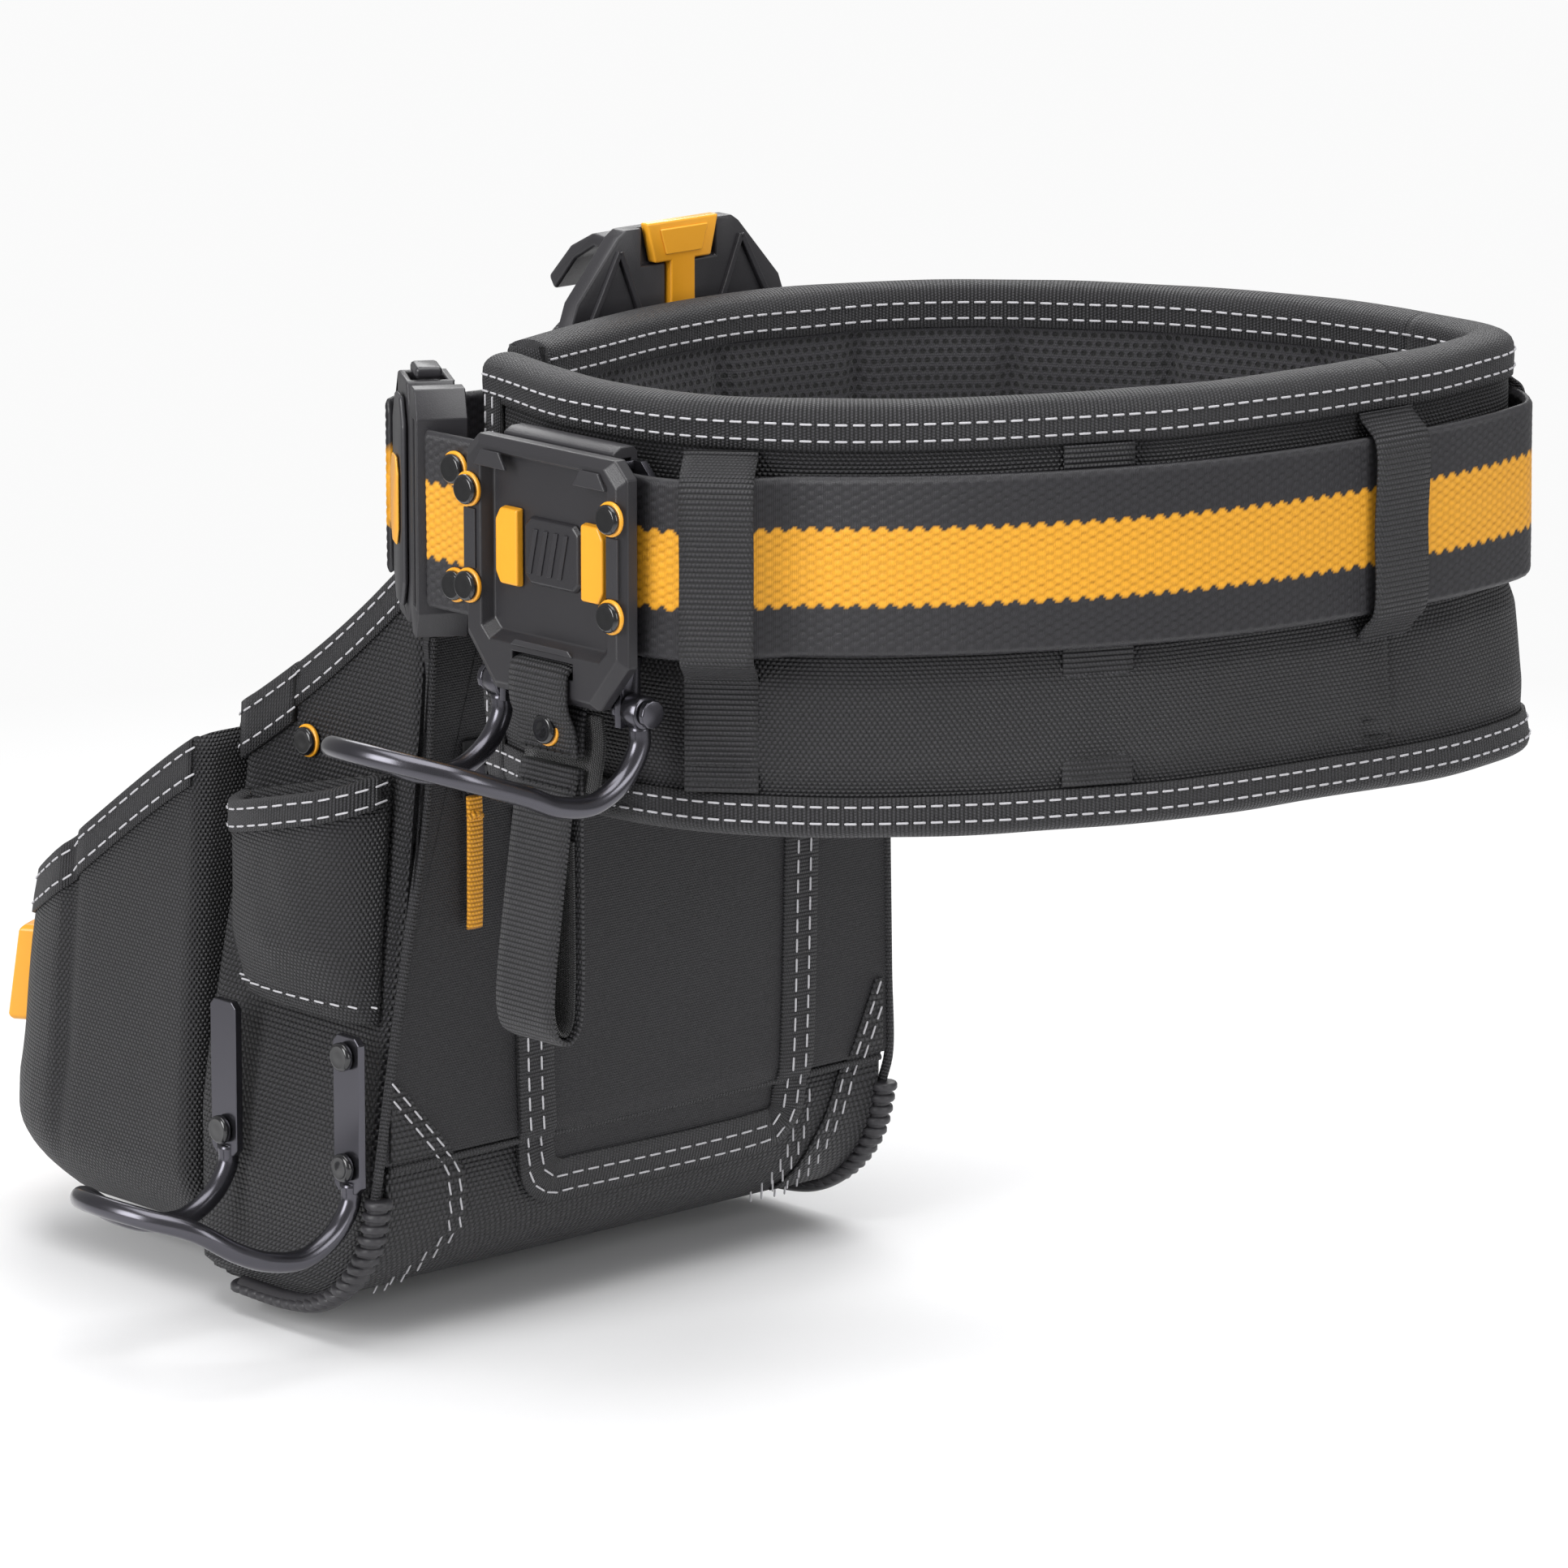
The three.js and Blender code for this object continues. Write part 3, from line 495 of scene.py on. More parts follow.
def repeated(name, tree, lines, facings, unit, material, pitch=4.5, place=inWorld):
    turn = np.array(place)
    spin = turn[:3, :3] / mm
    verts, edges, faces = [], [], []
    for line, facing in zip(lines, facings):
        line = np.atleast_2d(np.asarray(line, float))
        facing = np.broadcast_to(np.asarray(facing, float), line.shape)
        start = len(verts)
        verts += (line @ turn[:3, :3].T + turn[:3, 3]).tolist()
        faces += (facing @ spin.T).tolist()
        edges += [(start + i, start + i + 1) for i in range(len(line) - 1)]
    mesh = bpy.data.meshes.new(name)
    mesh.from_pydata(verts, edges, [])
    facing = mesh.attributes.new("facing", "FLOAT_VECTOR", "POINT")
    facing.data.foreach_set("vector", np.array(faces).ravel())
    piece = bpy.data.objects.new(name, mesh)
    bpy.context.scene.collection.objects.link(piece)
    mod = piece.modifiers.new("repeat", "NODES")
    mod.node_group = tree
    ids = {item.name: item.identifier for item in tree.interface.items_tree if item.in_out == "INPUT"}
    mod[ids["Piece"]] = unit
    mod[ids["Pitch"]] = pitch * mm
    mod[ids["Finish"]] = material
    settle(piece)
    if not piece.data.materials:
        piece.data.materials.append(material)
    return piece


def unitObject(name, verts, faces, smooth=True):
    mesh = bpy.data.meshes.new(name)
    mesh.from_pydata((np.asarray(verts, float) * mm).tolist(), [], faces)
    outward(mesh)
    if smooth:
        mesh.shade_smooth()
    unit = bpy.data.objects.new(name, mesh)
    bpy.context.scene.collection.objects.link(unit)
    unit.hide_render = True
    units.append(unit)
    return unit


def turnedUnit(name, profile, sides=24):  # profile of [radius, height] about Z
    ring = np.linspace(0, 2 * math.pi, sides, endpoint=False)
    verts = [[r * math.cos(a), r * math.sin(a), z] for r, z in profile for a in ring]
    index = np.arange(len(profile) * sides).reshape(-1, sides)
    beside = np.roll(index, -1, 1)
    faces = np.stack([index[:-1], beside[:-1], beside[1:], index[1:]], -1).reshape(-1, 4).tolist()
    return unitObject(name, verts, faces + [index[0][::-1].tolist(), index[-1].tolist()])


units = []
stitch = {"long": 3.5, "wide": 0.68, "pitch": 4.9}
capsule = [[0.15, -0.5], [0.42, -0.47], [0.5, -0.36], [0.5, 0.36], [0.42, 0.47], [0.15, 0.5]]


def stitchUnit(name, size):
    unit = turnedUnit(name, [[r * size["wide"], h * size["long"]] for r, h in capsule], 7)
    unit.data.transform(Matrix.Rotation(math.pi / 2, 4, "Y"))
    return unit


whiteStitch = stitchUnit("stitch_unit", stitch)
smallStitch = stitchUnit("small_stitch_unit", {"long": 2.2, "wide": 0.7})
rivetCap = turnedUnit("rivet_cap_unit", [[4.1, 0.6], [4.35, 0.8], [4.35, 2.0], [4.25, 2.25], [3.75, 2.75],
                                         [3.5, 2.85], [3.2, 2.8], [1.6, 2.85], [0.1, 2.9]], 36)
rivetWasher = turnedUnit("rivet_washer_unit", [[3.4, -0.2], [4.75, -0.2], [5.05, 0.1], [5.05, 0.75],
                                               [4.8, 1.05], [3.4, 1.1]], 36)


def sew(name, rows, facings, body, slotName, unit, yarn, pitch, place=inWorld):  # a row for each line
    keep(repeated(name, alongTree, rows, facings, unit, yarn, pitch, place), body, slotName)


print("building tools ready")

# ---------- padded belt
belt = {"top": 45, "bottom": -79, "thick": 12, "bind": 12, "blendBefore": 10, "blendAfter": 42,
        "rearBefore": 60, "rearAfter": 40, "flareOut": 7.5, "flareReach": 105, "puff": 1.6, "channel": 52}
padPlan = [[-2, -140.5], [45, -122], [78, -88], [91, -40], [91, 12], [80, 60], [58, 104], [33, 140], [9, 158],
           [-22, 144], [-58, 110], [-88, 62], [-102, 5], [-96, -38], [-74, -82], [-27, -130]]
padLine = Line(spline(padPlan))
padSplit = padLine.length / 2
rearStart, rearEnd = padSplit - belt["rearBefore"], padSplit + belt["rearAfter"]
bendFrom = padLine.at(padSplit + belt["blendBefore"]) * mm
bendTo = padLine.at(padSplit - belt["blendAfter"]) * mm


def lean(s, z):  # the pad's lower rear edge stands away from the waist
    near = ease(1 - np.abs(s - padSplit) / belt["flareReach"])
    return belt["flareOut"] * near * np.clip((-18 - z) / 62, 0, 1) ** 1.4


def padPoint(s, d, z):
    s, d, z = np.broadcast_arrays(s, d, z)
    d = d + lean(s, z) + 0.55 * waves(s / 26, z / 22, 1.3)
    return padLine.at(s) + padLine.normal(s) * d[..., None] + upward(z + 0.35 * waves(s / 31, d / 9))


def crown(s, z):  # the foam fills the outer cloth between its edges
    inside = ease((z + 70) / 14) * ease((36 - z) / 8)
    low = ease((-27 - z) / 9)
    return inside * (0.35 + belt["puff"] * low + 0.4 * waves(s / 17, z / 13, 4) * low)


def shellLoop(s):
    z = np.concatenate([np.linspace(-78, 44, 76), np.linspace(44, -78, 12)])
    return np.where(np.arange(88) < 76, crown(s, z), -1.6), z


def liningLoop(s):
    z = np.concatenate([np.linspace(-78, 44, 70), np.linspace(44, -78, 8)])
    channel = np.abs((s / belt["channel"]) % 1 - 0.5) * belt["channel"]
    pull = np.exp(-(channel / 3.2) ** 2)
    full = ease((z + 69) / 16) * ease((36 - z) / 16)
    swell = 2.4 * (1 - pull) - 1.2 * pull + 0.35 * waves(s / 15, z / 12)
    return np.where(np.arange(78) < 70, -12.1 - full * swell, -9.8), z


def bindLoop(way):
    outer, inner, span = 1.7, -13.7, belt["bind"]
    foot = (belt["top"] if way > 0 else belt["bottom"]) - way * span
    across = np.linspace(0, math.pi, 15)
    round_ = (outer + inner) / 2 + (outer - inner) / 2 * np.cos(across)
    d = [outer - 0.1, outer, outer + 0.1, *round_, inner - 0.1, inner, inner + 0.1]
    up = [0, 0.2, 0.45, *(0.62 + 0.46 * np.sin(across) ** 0.75), 0.45, 0.2, 0]
    d += [inner + 1.3, inner + 1.3, outer - 1.3, outer - 1.3]
    up += [0, 0.55, 0.55, 0]
    return np.array(d), foot + way * span * np.array(up)


def beltSections(name, loopAt, material, step):
    for side, a, b in padLimits:
        s = padLine.stations(a, b, step)
        d, z = (np.array(part) for part in zip(*(loopAt(one) for one in s)))
        girth = np.cumsum(np.hypot(np.diff(d, prepend=d[:, :1]), np.diff(z, prepend=z[:, :1])), axis=1)
        uv = np.stack([np.broadcast_to(s[:, None], d.shape), girth], -1)
        yield side, gridObject(f"{name}_{side}", padPoint(s[:, None], d, z), material, uv=uv)


def rideBelt(side, piece, slotName, *nodes):
    if side != "rear":
        return keep(piece, "belt_" + side, slotName, *nodes)
    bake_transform(piece)
    shown.append(piece)


padLimits = [("left", 0.0, rearStart), ("rear", rearStart, rearEnd), ("right", rearEnd, padLine.length)]
for kind, loopAt, material, step, slotName in (("pad_shell", shellLoop, nylon, 2.6, "nylon"),
                                               ("pad_lining", liningLoop, liningCloth, 2.4, "air_mesh")):
    for side, piece in beltSections(kind + "_cloth", loopAt, material, step):
        nodes = [] if side == "rear" else [f"{kind}_{side}"]
        if kind == "pad_shell" and side != "rear":
            nodes.append(f"pad_foam_{side}")
        rideBelt(side, piece, slotName, *nodes)
for edge, way in (("top", 1), ("bottom", -1)):
    for side, piece in beltSections(f"binding_{edge}_tape", lambda s: bindLoop(way), tapeCloth, 2.2):
        rideBelt(side, piece, "binding_tape", *([] if side == "rear" else [f"binding_{edge}_{side}"]))

for side, a, b in padLimits:
    rows, facings = [], []
    s = padLine.stations(a + (2 if side == "left" else 0), b - (2 if side == "right" else 0), 2.2)
    for edge, way in ((belt["top"], 1), (belt["bottom"], -1)):
        for d in (1.95, -13.95):
            for up in (2.6, 7.4):
                rows.append(padPoint(s, d, edge - way * (belt["bind"] - up)))
                facings.append(padLine.normal(s) * np.sign(d))
    sewn = repeated(f"pad_stitches_{side}", alongTree, rows, facings, whiteStitch, thread, stitch["pitch"])
    rideBelt(side, sewn, "binding_tape")


def endTape(side, s0, way):  # tape folded round the pad's front ends
    z = np.linspace(belt["bottom"] + 1.5, belt["top"] - 1.5, 60)
    across = np.linspace(0, math.pi, 11)
    d = np.concatenate([[1.9, 2.0, 2.0], -6 + 8.1 * np.cos(across), [-14.0, -14.0, -13.9],
                        [-12.7, -12.7, 0.8, 0.8]])
    far = np.concatenate([[11, 7, 3], 1.5 - 3.2 * np.sin(across), [3, 7, 11], [11, 2, 2, 11]])
    pull = 1 - 0.25 * ease((np.abs(z - np.mean(z)) - 50) / 12)
    s = s0 + way * far[None, :] * np.ones((60, 1))
    onLine = np.clip(s, 0, padLine.length)
    normal = padLine.normal(np.clip(s, 2, padLine.length - 2))
    run = np.stack([-normal[..., 1], normal[..., 0], 0 * s], -1)
    level = z[:, None] + 0 * s
    grid = padLine.at(onLine) + run * (s - onLine)[..., None] + upward(level)
    grid += normal * (d[None, :, None] * pull[:, None, None])
    girth = np.cumsum(np.abs(np.diff(far, prepend=11)) + np.abs(np.diff(d, prepend=1.9)))
    uv = np.stack([np.broadcast_to(girth, s.shape), level], -1)
    keep(gridObject(f"pad_end_tape_{side}", grid, tapeCloth, uv=uv), "belt_" + side, "binding_tape")
    rows, facings = [], []
    for inset in (2.2, 6.6):
        for out in (2.25, -14.2):
            at = np.full(40, s0 + way * inset)
            level = np.linspace(belt["bottom"] + 12, belt["top"] - 12, 40)
            rows.append(padLine.at(at) + padLine.normal(at) * out + upward(level))
            facings.append(padLine.normal(at) * np.sign(out))
    sew(f"pad_end_stitches_{side}", rows, facings, "belt_" + side, "binding_tape", whiteStitch, thread,
        stitch["pitch"])


endTape("left", 0.0, 1)
endTape("right", padLine.length, -1)
print("pad made")

# ---------- webbing, woven in relief
web = {"half": 26, "thick": 3, "gap": 3.6, "slack": 3, "slackReach": 9, "column": 5.0, "row": 2.6,
       "relief": 0.5, "stripeRows": 10.6, "fine": 0.68}
webLeftFront = [[6.2, -159], [31, -142.3], [56.3, -125.5], [70, -116.4], [83, -107.7], [91, -95]]
webRightFront = [[-110.8, -32], [-104.9, -41.5], [-84.8, -73.7], [-61.5, -111], [-58.3, -116.2],
                 [-44, -152.6]]


def padOffset(first, last):
    k = np.arange(first, last)
    s = padLine.length * k / 60
    d = web["gap"] + web["slack"] * np.maximum(0, 1 - np.abs(k - 30) / web["slackReach"])
    return (padLine.at(s) + padLine.normal(s) * d[:, None])[:, :2].tolist()


webLine = Line(spline(webLeftFront + padOffset(10, 46) + webRightFront))


def lensBumps(s, z):
    best, centre = np.zeros(np.broadcast(s, z).shape), np.zeros(np.broadcast(s, z).shape)
    for shift in (0, 0.5):
        ds = ((s / web["column"] + shift + 0.5) % 1 - 0.5) * web["column"]
        row = np.round(z / web["row"] - shift) + shift
        dz = z - row * web["row"]
        bump = np.sqrt(np.clip(1 - (np.abs(ds) / 2.35) ** 1.9 - (np.abs(dz) / 1.5) ** 2, 0, 1))
        centre = np.where(bump > best, row * web["row"], centre)
        best = np.maximum(best, bump)
    return best, np.abs(centre) < web["stripeRows"]


def wovenStrip(name, line, limits, thick):
    z = np.linspace(-web["half"] + 0.3, web["half"] - 0.3, int(52 / web["fine"]))
    edge = np.clip((web["half"] - np.abs(z)) / 1.6, 0, 1) ** 0.5
    for side, a, b in limits:
        s = line.stations(a, b, web["fine"])[:, None]
        outBump, outGold = lensBumps(s, z[None, :])
        inBump, inGold = lensBumps(s + 1.7, -z[None, :])
        zero = np.zeros((len(s), 1))

        def loop(outer, inner, first, last):
            return np.concatenate([outer, zero + first, inner[:, ::-1], zero + last], 1)

        d = loop(thick / 2 * edge - web["relief"] * (1 - outBump),
                 web["relief"] * (1 - inBump) - thick / 2 * edge, 0, 0)
        level = loop(z + zero, z + zero, web["half"], -web["half"])
        relief = loop(outBump, inBump, 0.6, 0.6)
        stripe = loop(outGold, inGold, 0, 0)
        s = np.broadcast_to(s, d.shape)
        wobble = 0.25 * waves(s / 40, level / 30, 2)
        grid = line.at(s) + line.normal(s) * (d + wobble)[..., None] + upward(level)
        yield side, gridObject(f"{name}_{side}", grid, webCloth, uv=np.stack([s, level], -1),
                               extra={"relief": relief, "stripe": stripe})


webMiddle = webLine.far[np.argmin(np.linalg.norm(webLine.points - padLine.at(padSplit), axis=1))]
webStart, webEnd = webMiddle - belt["rearBefore"], webMiddle + belt["rearAfter"]
webLimits = [("left", 0.0, webStart), ("rear", webStart, webEnd), ("right", webEnd, webLine.length)]
for side, piece in wovenStrip("webbing_woven", webLine, webLimits, web["thick"]):
    rideBelt(side, piece, "webbing", *([] if side == "rear" else [f"webbing_{side}"]))
tailLine = Line(spline([[-53.5, -142.8], [-51.1, -146.4], [-48.6, -152.2], [-46.8, -161], [-42.5, -163.9]]))
for side, piece in wovenStrip("webbing_tail_woven", tailLine, [("end", 0.0, tailLine.length)], 2.4):
    keep(piece, "belt_right", "webbing", "webbing_tail")
print("webbing made")

# ---------- keepers: tape bands over or under the webbing
keeperSize = {"wide": 21, "thick": 1.2, "high": 32.4, "low": -66}


def ribbon(name, profile, wide, thick, material, place, centre=0.0, thin=(1.4, 0.3), per=12, step=1.0):
    line = Line(spline(profile, per))  # a strip across x, along a profile in y and z
    s = line.stations(0, line.length, step)
    across = np.linspace(-wide / 2, wide / 2, 9)
    edge = np.clip((wide / 2 - np.abs(across)) / thin[0], thin[1], 1) ** 0.5
    columns = list(zip(across, edge * thick / 2)) + list(zip(across[::-1], -edge[::-1] * thick / 2))
    grid = np.array([[(centre + x, m[0] + n[0] * h, m[1] + n[1] * h) for x, h in columns]
                     for m, n in zip(line.at(s), line.normal(s))])
    uv = np.array([[(one, x) for x, h in columns] for one in s])
    return gridObject(name, grid, material, place=place, uv=uv)


def keeperBand(node, middle, body, over):
    (x, y), (nx, ny) = middle
    high, low = keeperSize["high"], keeperSize["low"]
    if over is None:
        profile = [[1.1, low], [1.2, -30], [1.1, 0], [1.2, high]]
    else:
        top = over + 1.5 + 0.9 + 0.6
        profile = [[1.5, low], [1.6, -45], [1.8, -33.5], [top * 0.55, -29.6], [top, -25.5], [top + 0.25, 0],
                   [top, 25], [top * 0.5, 29], [1.7, 31], [1.5, high]]
    place = inWorld @ Matrix(((-ny, nx, 0, x), (nx, ny, 0, y), (0, 0, 1, 0), (0, 0, 0, 1)))
    band = ribbon(node + "_tape", profile, keeperSize["wide"], keeperSize["thick"], strapCloth, place,
                  thin=(1.2, 0.25), per=14, step=1.1)
    keep(band, body, "binding_tape", node)
    side = np.array([-ny, nx, 0])
    rows = []
    for level in (-58, -63):
        at = np.array([x, y, level]) + np.array([nx, ny, 0]) * (2.35 + 0.8)
        rows.append([at - side * 7.5, at + side * 7.5])
    sew(node + "_tack", rows, [(nx, ny, 0)] * 2, body, "binding_tape", smallStitch, darkThread, 2.3)


def padStation(k):
    s = padLine.length * k / 60
    p, n = padLine.at(s), padLine.normal(s)
    return (p[:2], n[:2])


keeperBand("keeper_left_front", ((80.6, -86.5), (0.963, -0.27)), "belt_left", 11.4)
keeperBand("keeper_left_side", padStation(17), "belt_left", None)
keeperBand("keeper_left_rear", padStation(25), "belt_left", 5.4)
keeperBand("keeper_rear", padStation(32), "belt_right", 6.2)
keeperBand("keeper_right_side", padStation(41), "belt_right", 3.6)
print("keepers made")

# ---------- buckle, holder and ring hardware from the frame's own parts, with rounded edges
for nodeName, material, slotName, width in (
        ("buckle_socket", blackPlastic, "black_plastic", 1.3),
        ("buckle_cover", gripPlastic, "black_plastic", 1.0),
        ("buckle_badge", yellowPlastic, "yellow_plastic", 0.5),
        ("buckle_prongs", blackPlastic, "black_plastic", 1.3),
        ("buckle_button_top", gripPlastic, "black_plastic", 1.2),
        ("buckle_button_bottom", gripPlastic, "black_plastic", 1.2),
        ("holder_bracket", blackSteel, "black_steel", 0.5),
        ("ring_pin_left", blackSteel, "black_steel", 0.5),
        ("ring_pin_right", blackSteel, "black_steel", 0.5),
        ("belt_hub", blackPlastic, "black_plastic", 0.9),
        ("clip_hood", blackPlastic, "black_plastic", 1.1),
        ("zip_slider", blackSteel, "black_steel", 0.6)):
    refine(nodeName, material, slotName, width)


def wall(bm, a, b):  # quads between two loops of corners
    for i in range(len(a)):
        j = (i + 1) % len(a)
        bm.faces.new((a[i], a[j], b[j], b[i]))


def finished(name, bm, place):
    bmesh.ops.recalc_face_normals(bm, faces=bm.faces)
    mesh = bpy.data.meshes.new(name)
    bm.to_mesh(mesh)
    bm.free()
    mesh.transform(place)
    mesh.shade_smooth()
    return mesh


def solidFrom(name, outline, depths, material, place, edge=0.8, axes="xz", taper=0.0):
    bm = bmesh.new()
    cx, cy = (sum(p[k] for p in outline) / len(outline) for k in (0, 1))
    rings = []
    for depth, shrink in zip(depths, (taper, 0.0)):
        ring = [(cx + (a - cx) * (1 - shrink), cy + (b - cy) * (1 - shrink)) for a, b in outline]
        rings.append([bm.verts.new((a, depth, b) if axes == "xz" else (depth, a, b)) for a, b in ring])
    wall(bm, *rings)
    for ring in rings:
        bm.faces.new(ring)
    piece = makeObject(name, finished(name, bm, place), material)
    if edge:
        bevelled(piece, edge)
    return piece


def joined(name, pieces):  # several closed forms as one piece
    mesh = bpy.data.meshes.new(name)
    bm = bmesh.new()
    materials = []
    for piece in pieces:
        for one in piece.data.materials:
            if one not in materials:
                materials.append(one)
    for piece in pieces:
        start = len(bm.faces)
        bm.from_mesh(piece.data)
        bm.faces.ensure_lookup_table()
        for face in bm.faces[start:]:
            face.material_index = materials.index(piece.data.materials[face.material_index])
        bpy.data.objects.remove(piece)
    bm.to_mesh(mesh)
    bm.free()
    return makeObject(name, mesh, materials)


def boxPoints(x0, x1, z0, z1, cut=0.0):
    if not cut:
        return [(x0, z0), (x1, z0), (x1, z1), (x0, z1)]
    return [(x0 + cut, z0), (x1 - cut, z0), (x1, z0 + cut), (x1, z1 - cut),
            (x1 - cut, z1), (x0 + cut, z1), (x0, z1 - cut), (x0, z0 + cut)]


# holder plate: a raised frame round a sloped-wall recess, over a thin floor
plate = {"face": -11.6, "back": -5.4, "half": 33.5, "top": 31, "low": -42, "floor": -7.6,
         "well": (-24, 25.4, -25, 26), "slot": (-12.6, 12.6, -34.2, -29.6)}


def holderPlate():
    w, top, low = plate["half"], plate["top"], plate["low"]
    outline = [(-w, low + 14), (-22, low), (22, low), (w, low + 14), (w, top - 5), (w - 5, top),
               (-w + 5, top), (-w, top - 5)]
    inset = [(x - math.copysign(min(2.4, abs(x)), x), z - math.copysign(2.4, z)) for x, z in outline]
    bm = bmesh.new()

    def ring(points, y):
        return [bm.verts.new((x, y, z)) for x, z in points]

    x0, x1, z0, z1 = plate["well"]
    back = ring(outline, plate["back"])
    shoulder = ring(outline, plate["face"] + 2.2)
    front = ring(inset, plate["face"])
    wellTop = ring(boxPoints(x0 - 1.6, x1 + 1.6, z0 - 2.6, z1 + 1.0, 3.5), plate["face"])
    wellLow = ring(boxPoints(x0, x1, z0, z1, 3.0), plate["floor"])
    slotTop = ring(boxPoints(*plate["slot"]), plate["face"])
    slotBack = ring(boxPoints(*plate["slot"]), plate["back"])
    for a, b in ((back, shoulder), (shoulder, front), (wellTop, wellLow), (slotTop, slotBack)):
        wall(bm, a, b)
    bm.faces.new(wellLow)
    for loops in ((front, wellTop, slotTop), (back, slotBack)):
        edges = [bm.edges.get((a[i], a[(i + 1) % len(a)])) for a in loops for i in range(len(a))]
        bmesh.ops.triangle_fill(bm, edges=edges, use_beauty=True, use_dissolve=True)
    piece = makeObject("holder_plate_frame", finished("holder_plate_frame", bm, onPlate), blackPlastic)
    bevelled(piece, 0.55, 18)
    return piece


keep(holderPlate(), "belt_left", "black_plastic", "holder_plate")
facets = []
for outline, face, edge in (
        ([(-14, 22.4), (-27.5, 22.4), (-24.5, 27.2), (-17, 27.2)], -12.6, 0.35),
        ([(14, 22.4), (27.5, 22.4), (24.5, 27.2), (17, 27.2)], -12.6, 0.35),
        ([(-27.4, -8.0), (-32.2, -8.0), (-32.2, 9.5), (-27.4, 9.5)], -12.2, 0.3),
        ([(27.4, -8.0), (32.2, -8.0), (32.2, 9.5), (27.4, 9.5)], -12.2, 0.3),
        ([(-13, -27.6), (13, -27.6), (11, -25.8), (-11, -25.8)], -12.1, 0.3)):
    facets.append(solidFrom("facet", outline, (face, -11.5), blackPlastic, onPlate, edge))
keep(joined("holder_plate_facets", facets), "belt_left", "black_plastic")
wrap = [(-4.9, 25.9), (-4.9, 31.6), (-2.0, 33.0), (2.6, 33.0), (4.4, 31.4), (4.4, 25.9), (1.9, 25.9),
        (1.9, 29.6), (-4.0, 29.6)]
wrapped = solidFrom("holder_top_wrap", wrap, (-23, 23), blackPlastic, onPlate, 0.6, axes="yz")
keep(wrapped, "belt_left", "black_plastic")
for name, way in (("left", -1), ("right", 1)):
    outline = [(1.6 + way * a, b) for a, b in
               ((13, -11.5), (20.5, -11.5), (22.6, -8), (22.6, 8), (20.5, 11.5), (13, 11.5))]
    insert = solidFrom(f"holder_insert_{name}_moulded", outline, (-10.4, -7.7), yellowPlastic, onPlate, 0.7,
                       taper=0.05)
    keep(insert, "belt_left", "yellow_plastic", f"holder_insert_{name}")
badge = solidFrom("badge", boxPoints(-10.4, 13.6, -10, 10, 2.5), (-9.3, -7.7), gripPlastic, onPlate, 0.6,
                  taper=0.08)
bars = [solidFrom("bar", [(-8.4 + x, -6.6), (-6.6 + x, -6.6), (-3.6 + x, 6.6), (-5.4 + x, 6.6)],
                  (-9.75, -9.2), gripPlastic, onPlate, 0.2) for x in (0, 4.2, 8.4, 12.6)]
keep(joined("holder_badge_moulded", [badge, *bars]), "belt_left", "black_plastic", "holder_badge")


def rivets(name, body, points, facing, nodes, place):
    points = [[p] for p in points]
    facings = [facing] * len(points)
    caps = repeated(name + "_caps", atTree, points, facings, rivetCap, capSteel, place=place)
    washers = repeated(name + "_washers", atTree, points, facings, rivetWasher, yellowPlastic, place=place)
    keep(caps, body, "black_steel", *nodes)
    keep(washers, body, "yellow_plastic")


rivets("holder_rivets", "belt_left", [(x, -12.0, z) for x in (-29.75, 29.75) for z in (15, -13)], (0, -1, 0),
       [f"holder_rivet_{a}_{b}" for a in ("left", "right") for b in ("upper", "lower")], onPlate)
rivets("webbing_rivets", "belt_left", [(-46.5, -2.0, z) for z in (17, -17)], (0, -1, 0),
       ["webbing_rivet_upper", "webbing_rivet_lower"], onPlate)
rivets("strap_rivets", "belt_left", [(1, -10.2, -50)], (0, -1, 0), ["strap_rivet"], onPlate)


def tube(name, points, radius, material, place, sides=20, step=1.2):
    line = Line(spline(points, 14))
    s = line.stations(0, line.length, step)
    run = unitLong(line.at(np.minimum(s + 0.6, line.length)) - line.at(np.maximum(s - 0.6, 0)))
    side = np.cross(run[0], [0.31, 0.2, 0.93])
    rings = []
    a = np.linspace(0, 2 * math.pi, sides, endpoint=False)[:, None]
    for p, d in zip(line.at(s), run):
        side = unitLong(side - d * np.dot(side, d))
        rings.append(p + radius * (np.cos(a) * side + np.sin(a) * np.cross(d, side)))
    uv = np.stack(np.meshgrid(s, np.linspace(0, 2 * math.pi * radius, sides + 1), indexing="ij"), -1)
    return gridObject(name, rings, material, place=place, uv=uv)


ringSide = [(0, -4), (0, -10), (6, -18.5), (17.5, -24), (31.5, -22.5), (43.5, -17.5)]


def ringPoints(reach, half=29):
    around = []
    for a in [math.pi * i / 6 for i in range(1, 6)]:
        around.append((-half * math.cos(a), -(reach - half * (1 - math.sin(a))), -14.5 + 10.5 * math.sin(a)))
    return [(-half, -d, z) for d, z in ringSide] + around + [(half, -d, z) for d, z in ringSide[::-1]]


def hammerRing():
    parts = [tube("wire", [(x, y - 1, z - 42) for x, y, z in ringPoints(80)], 3.15, blackSteel, onPlate)]
    for way in (-1, 1):
        profile = [[2.3, -3.1], [4.5, -3.1], [4.8, -2.8], [4.8, 2.8], [4.5, 3.1], [2.3, 3.1]]
        eye = turnedUnit("eye", profile, 28)
        units.remove(eye)
        eye.hide_render = False
        eye.data.materials.append(blackSteel)
        turn = Matrix.Rotation(math.pi / 2, 4, "Y") @ Matrix.Scale(1 / mm, 4)
        eye.data.transform(onPlate @ Matrix.Translation((way * 29, -1, -42)) @ turn)
        parts.append(eye)
    return joined("hammer_ring_wire", parts)


keep(hammerRing(), "hammer_ring", "black_steel", "hammer_ring")

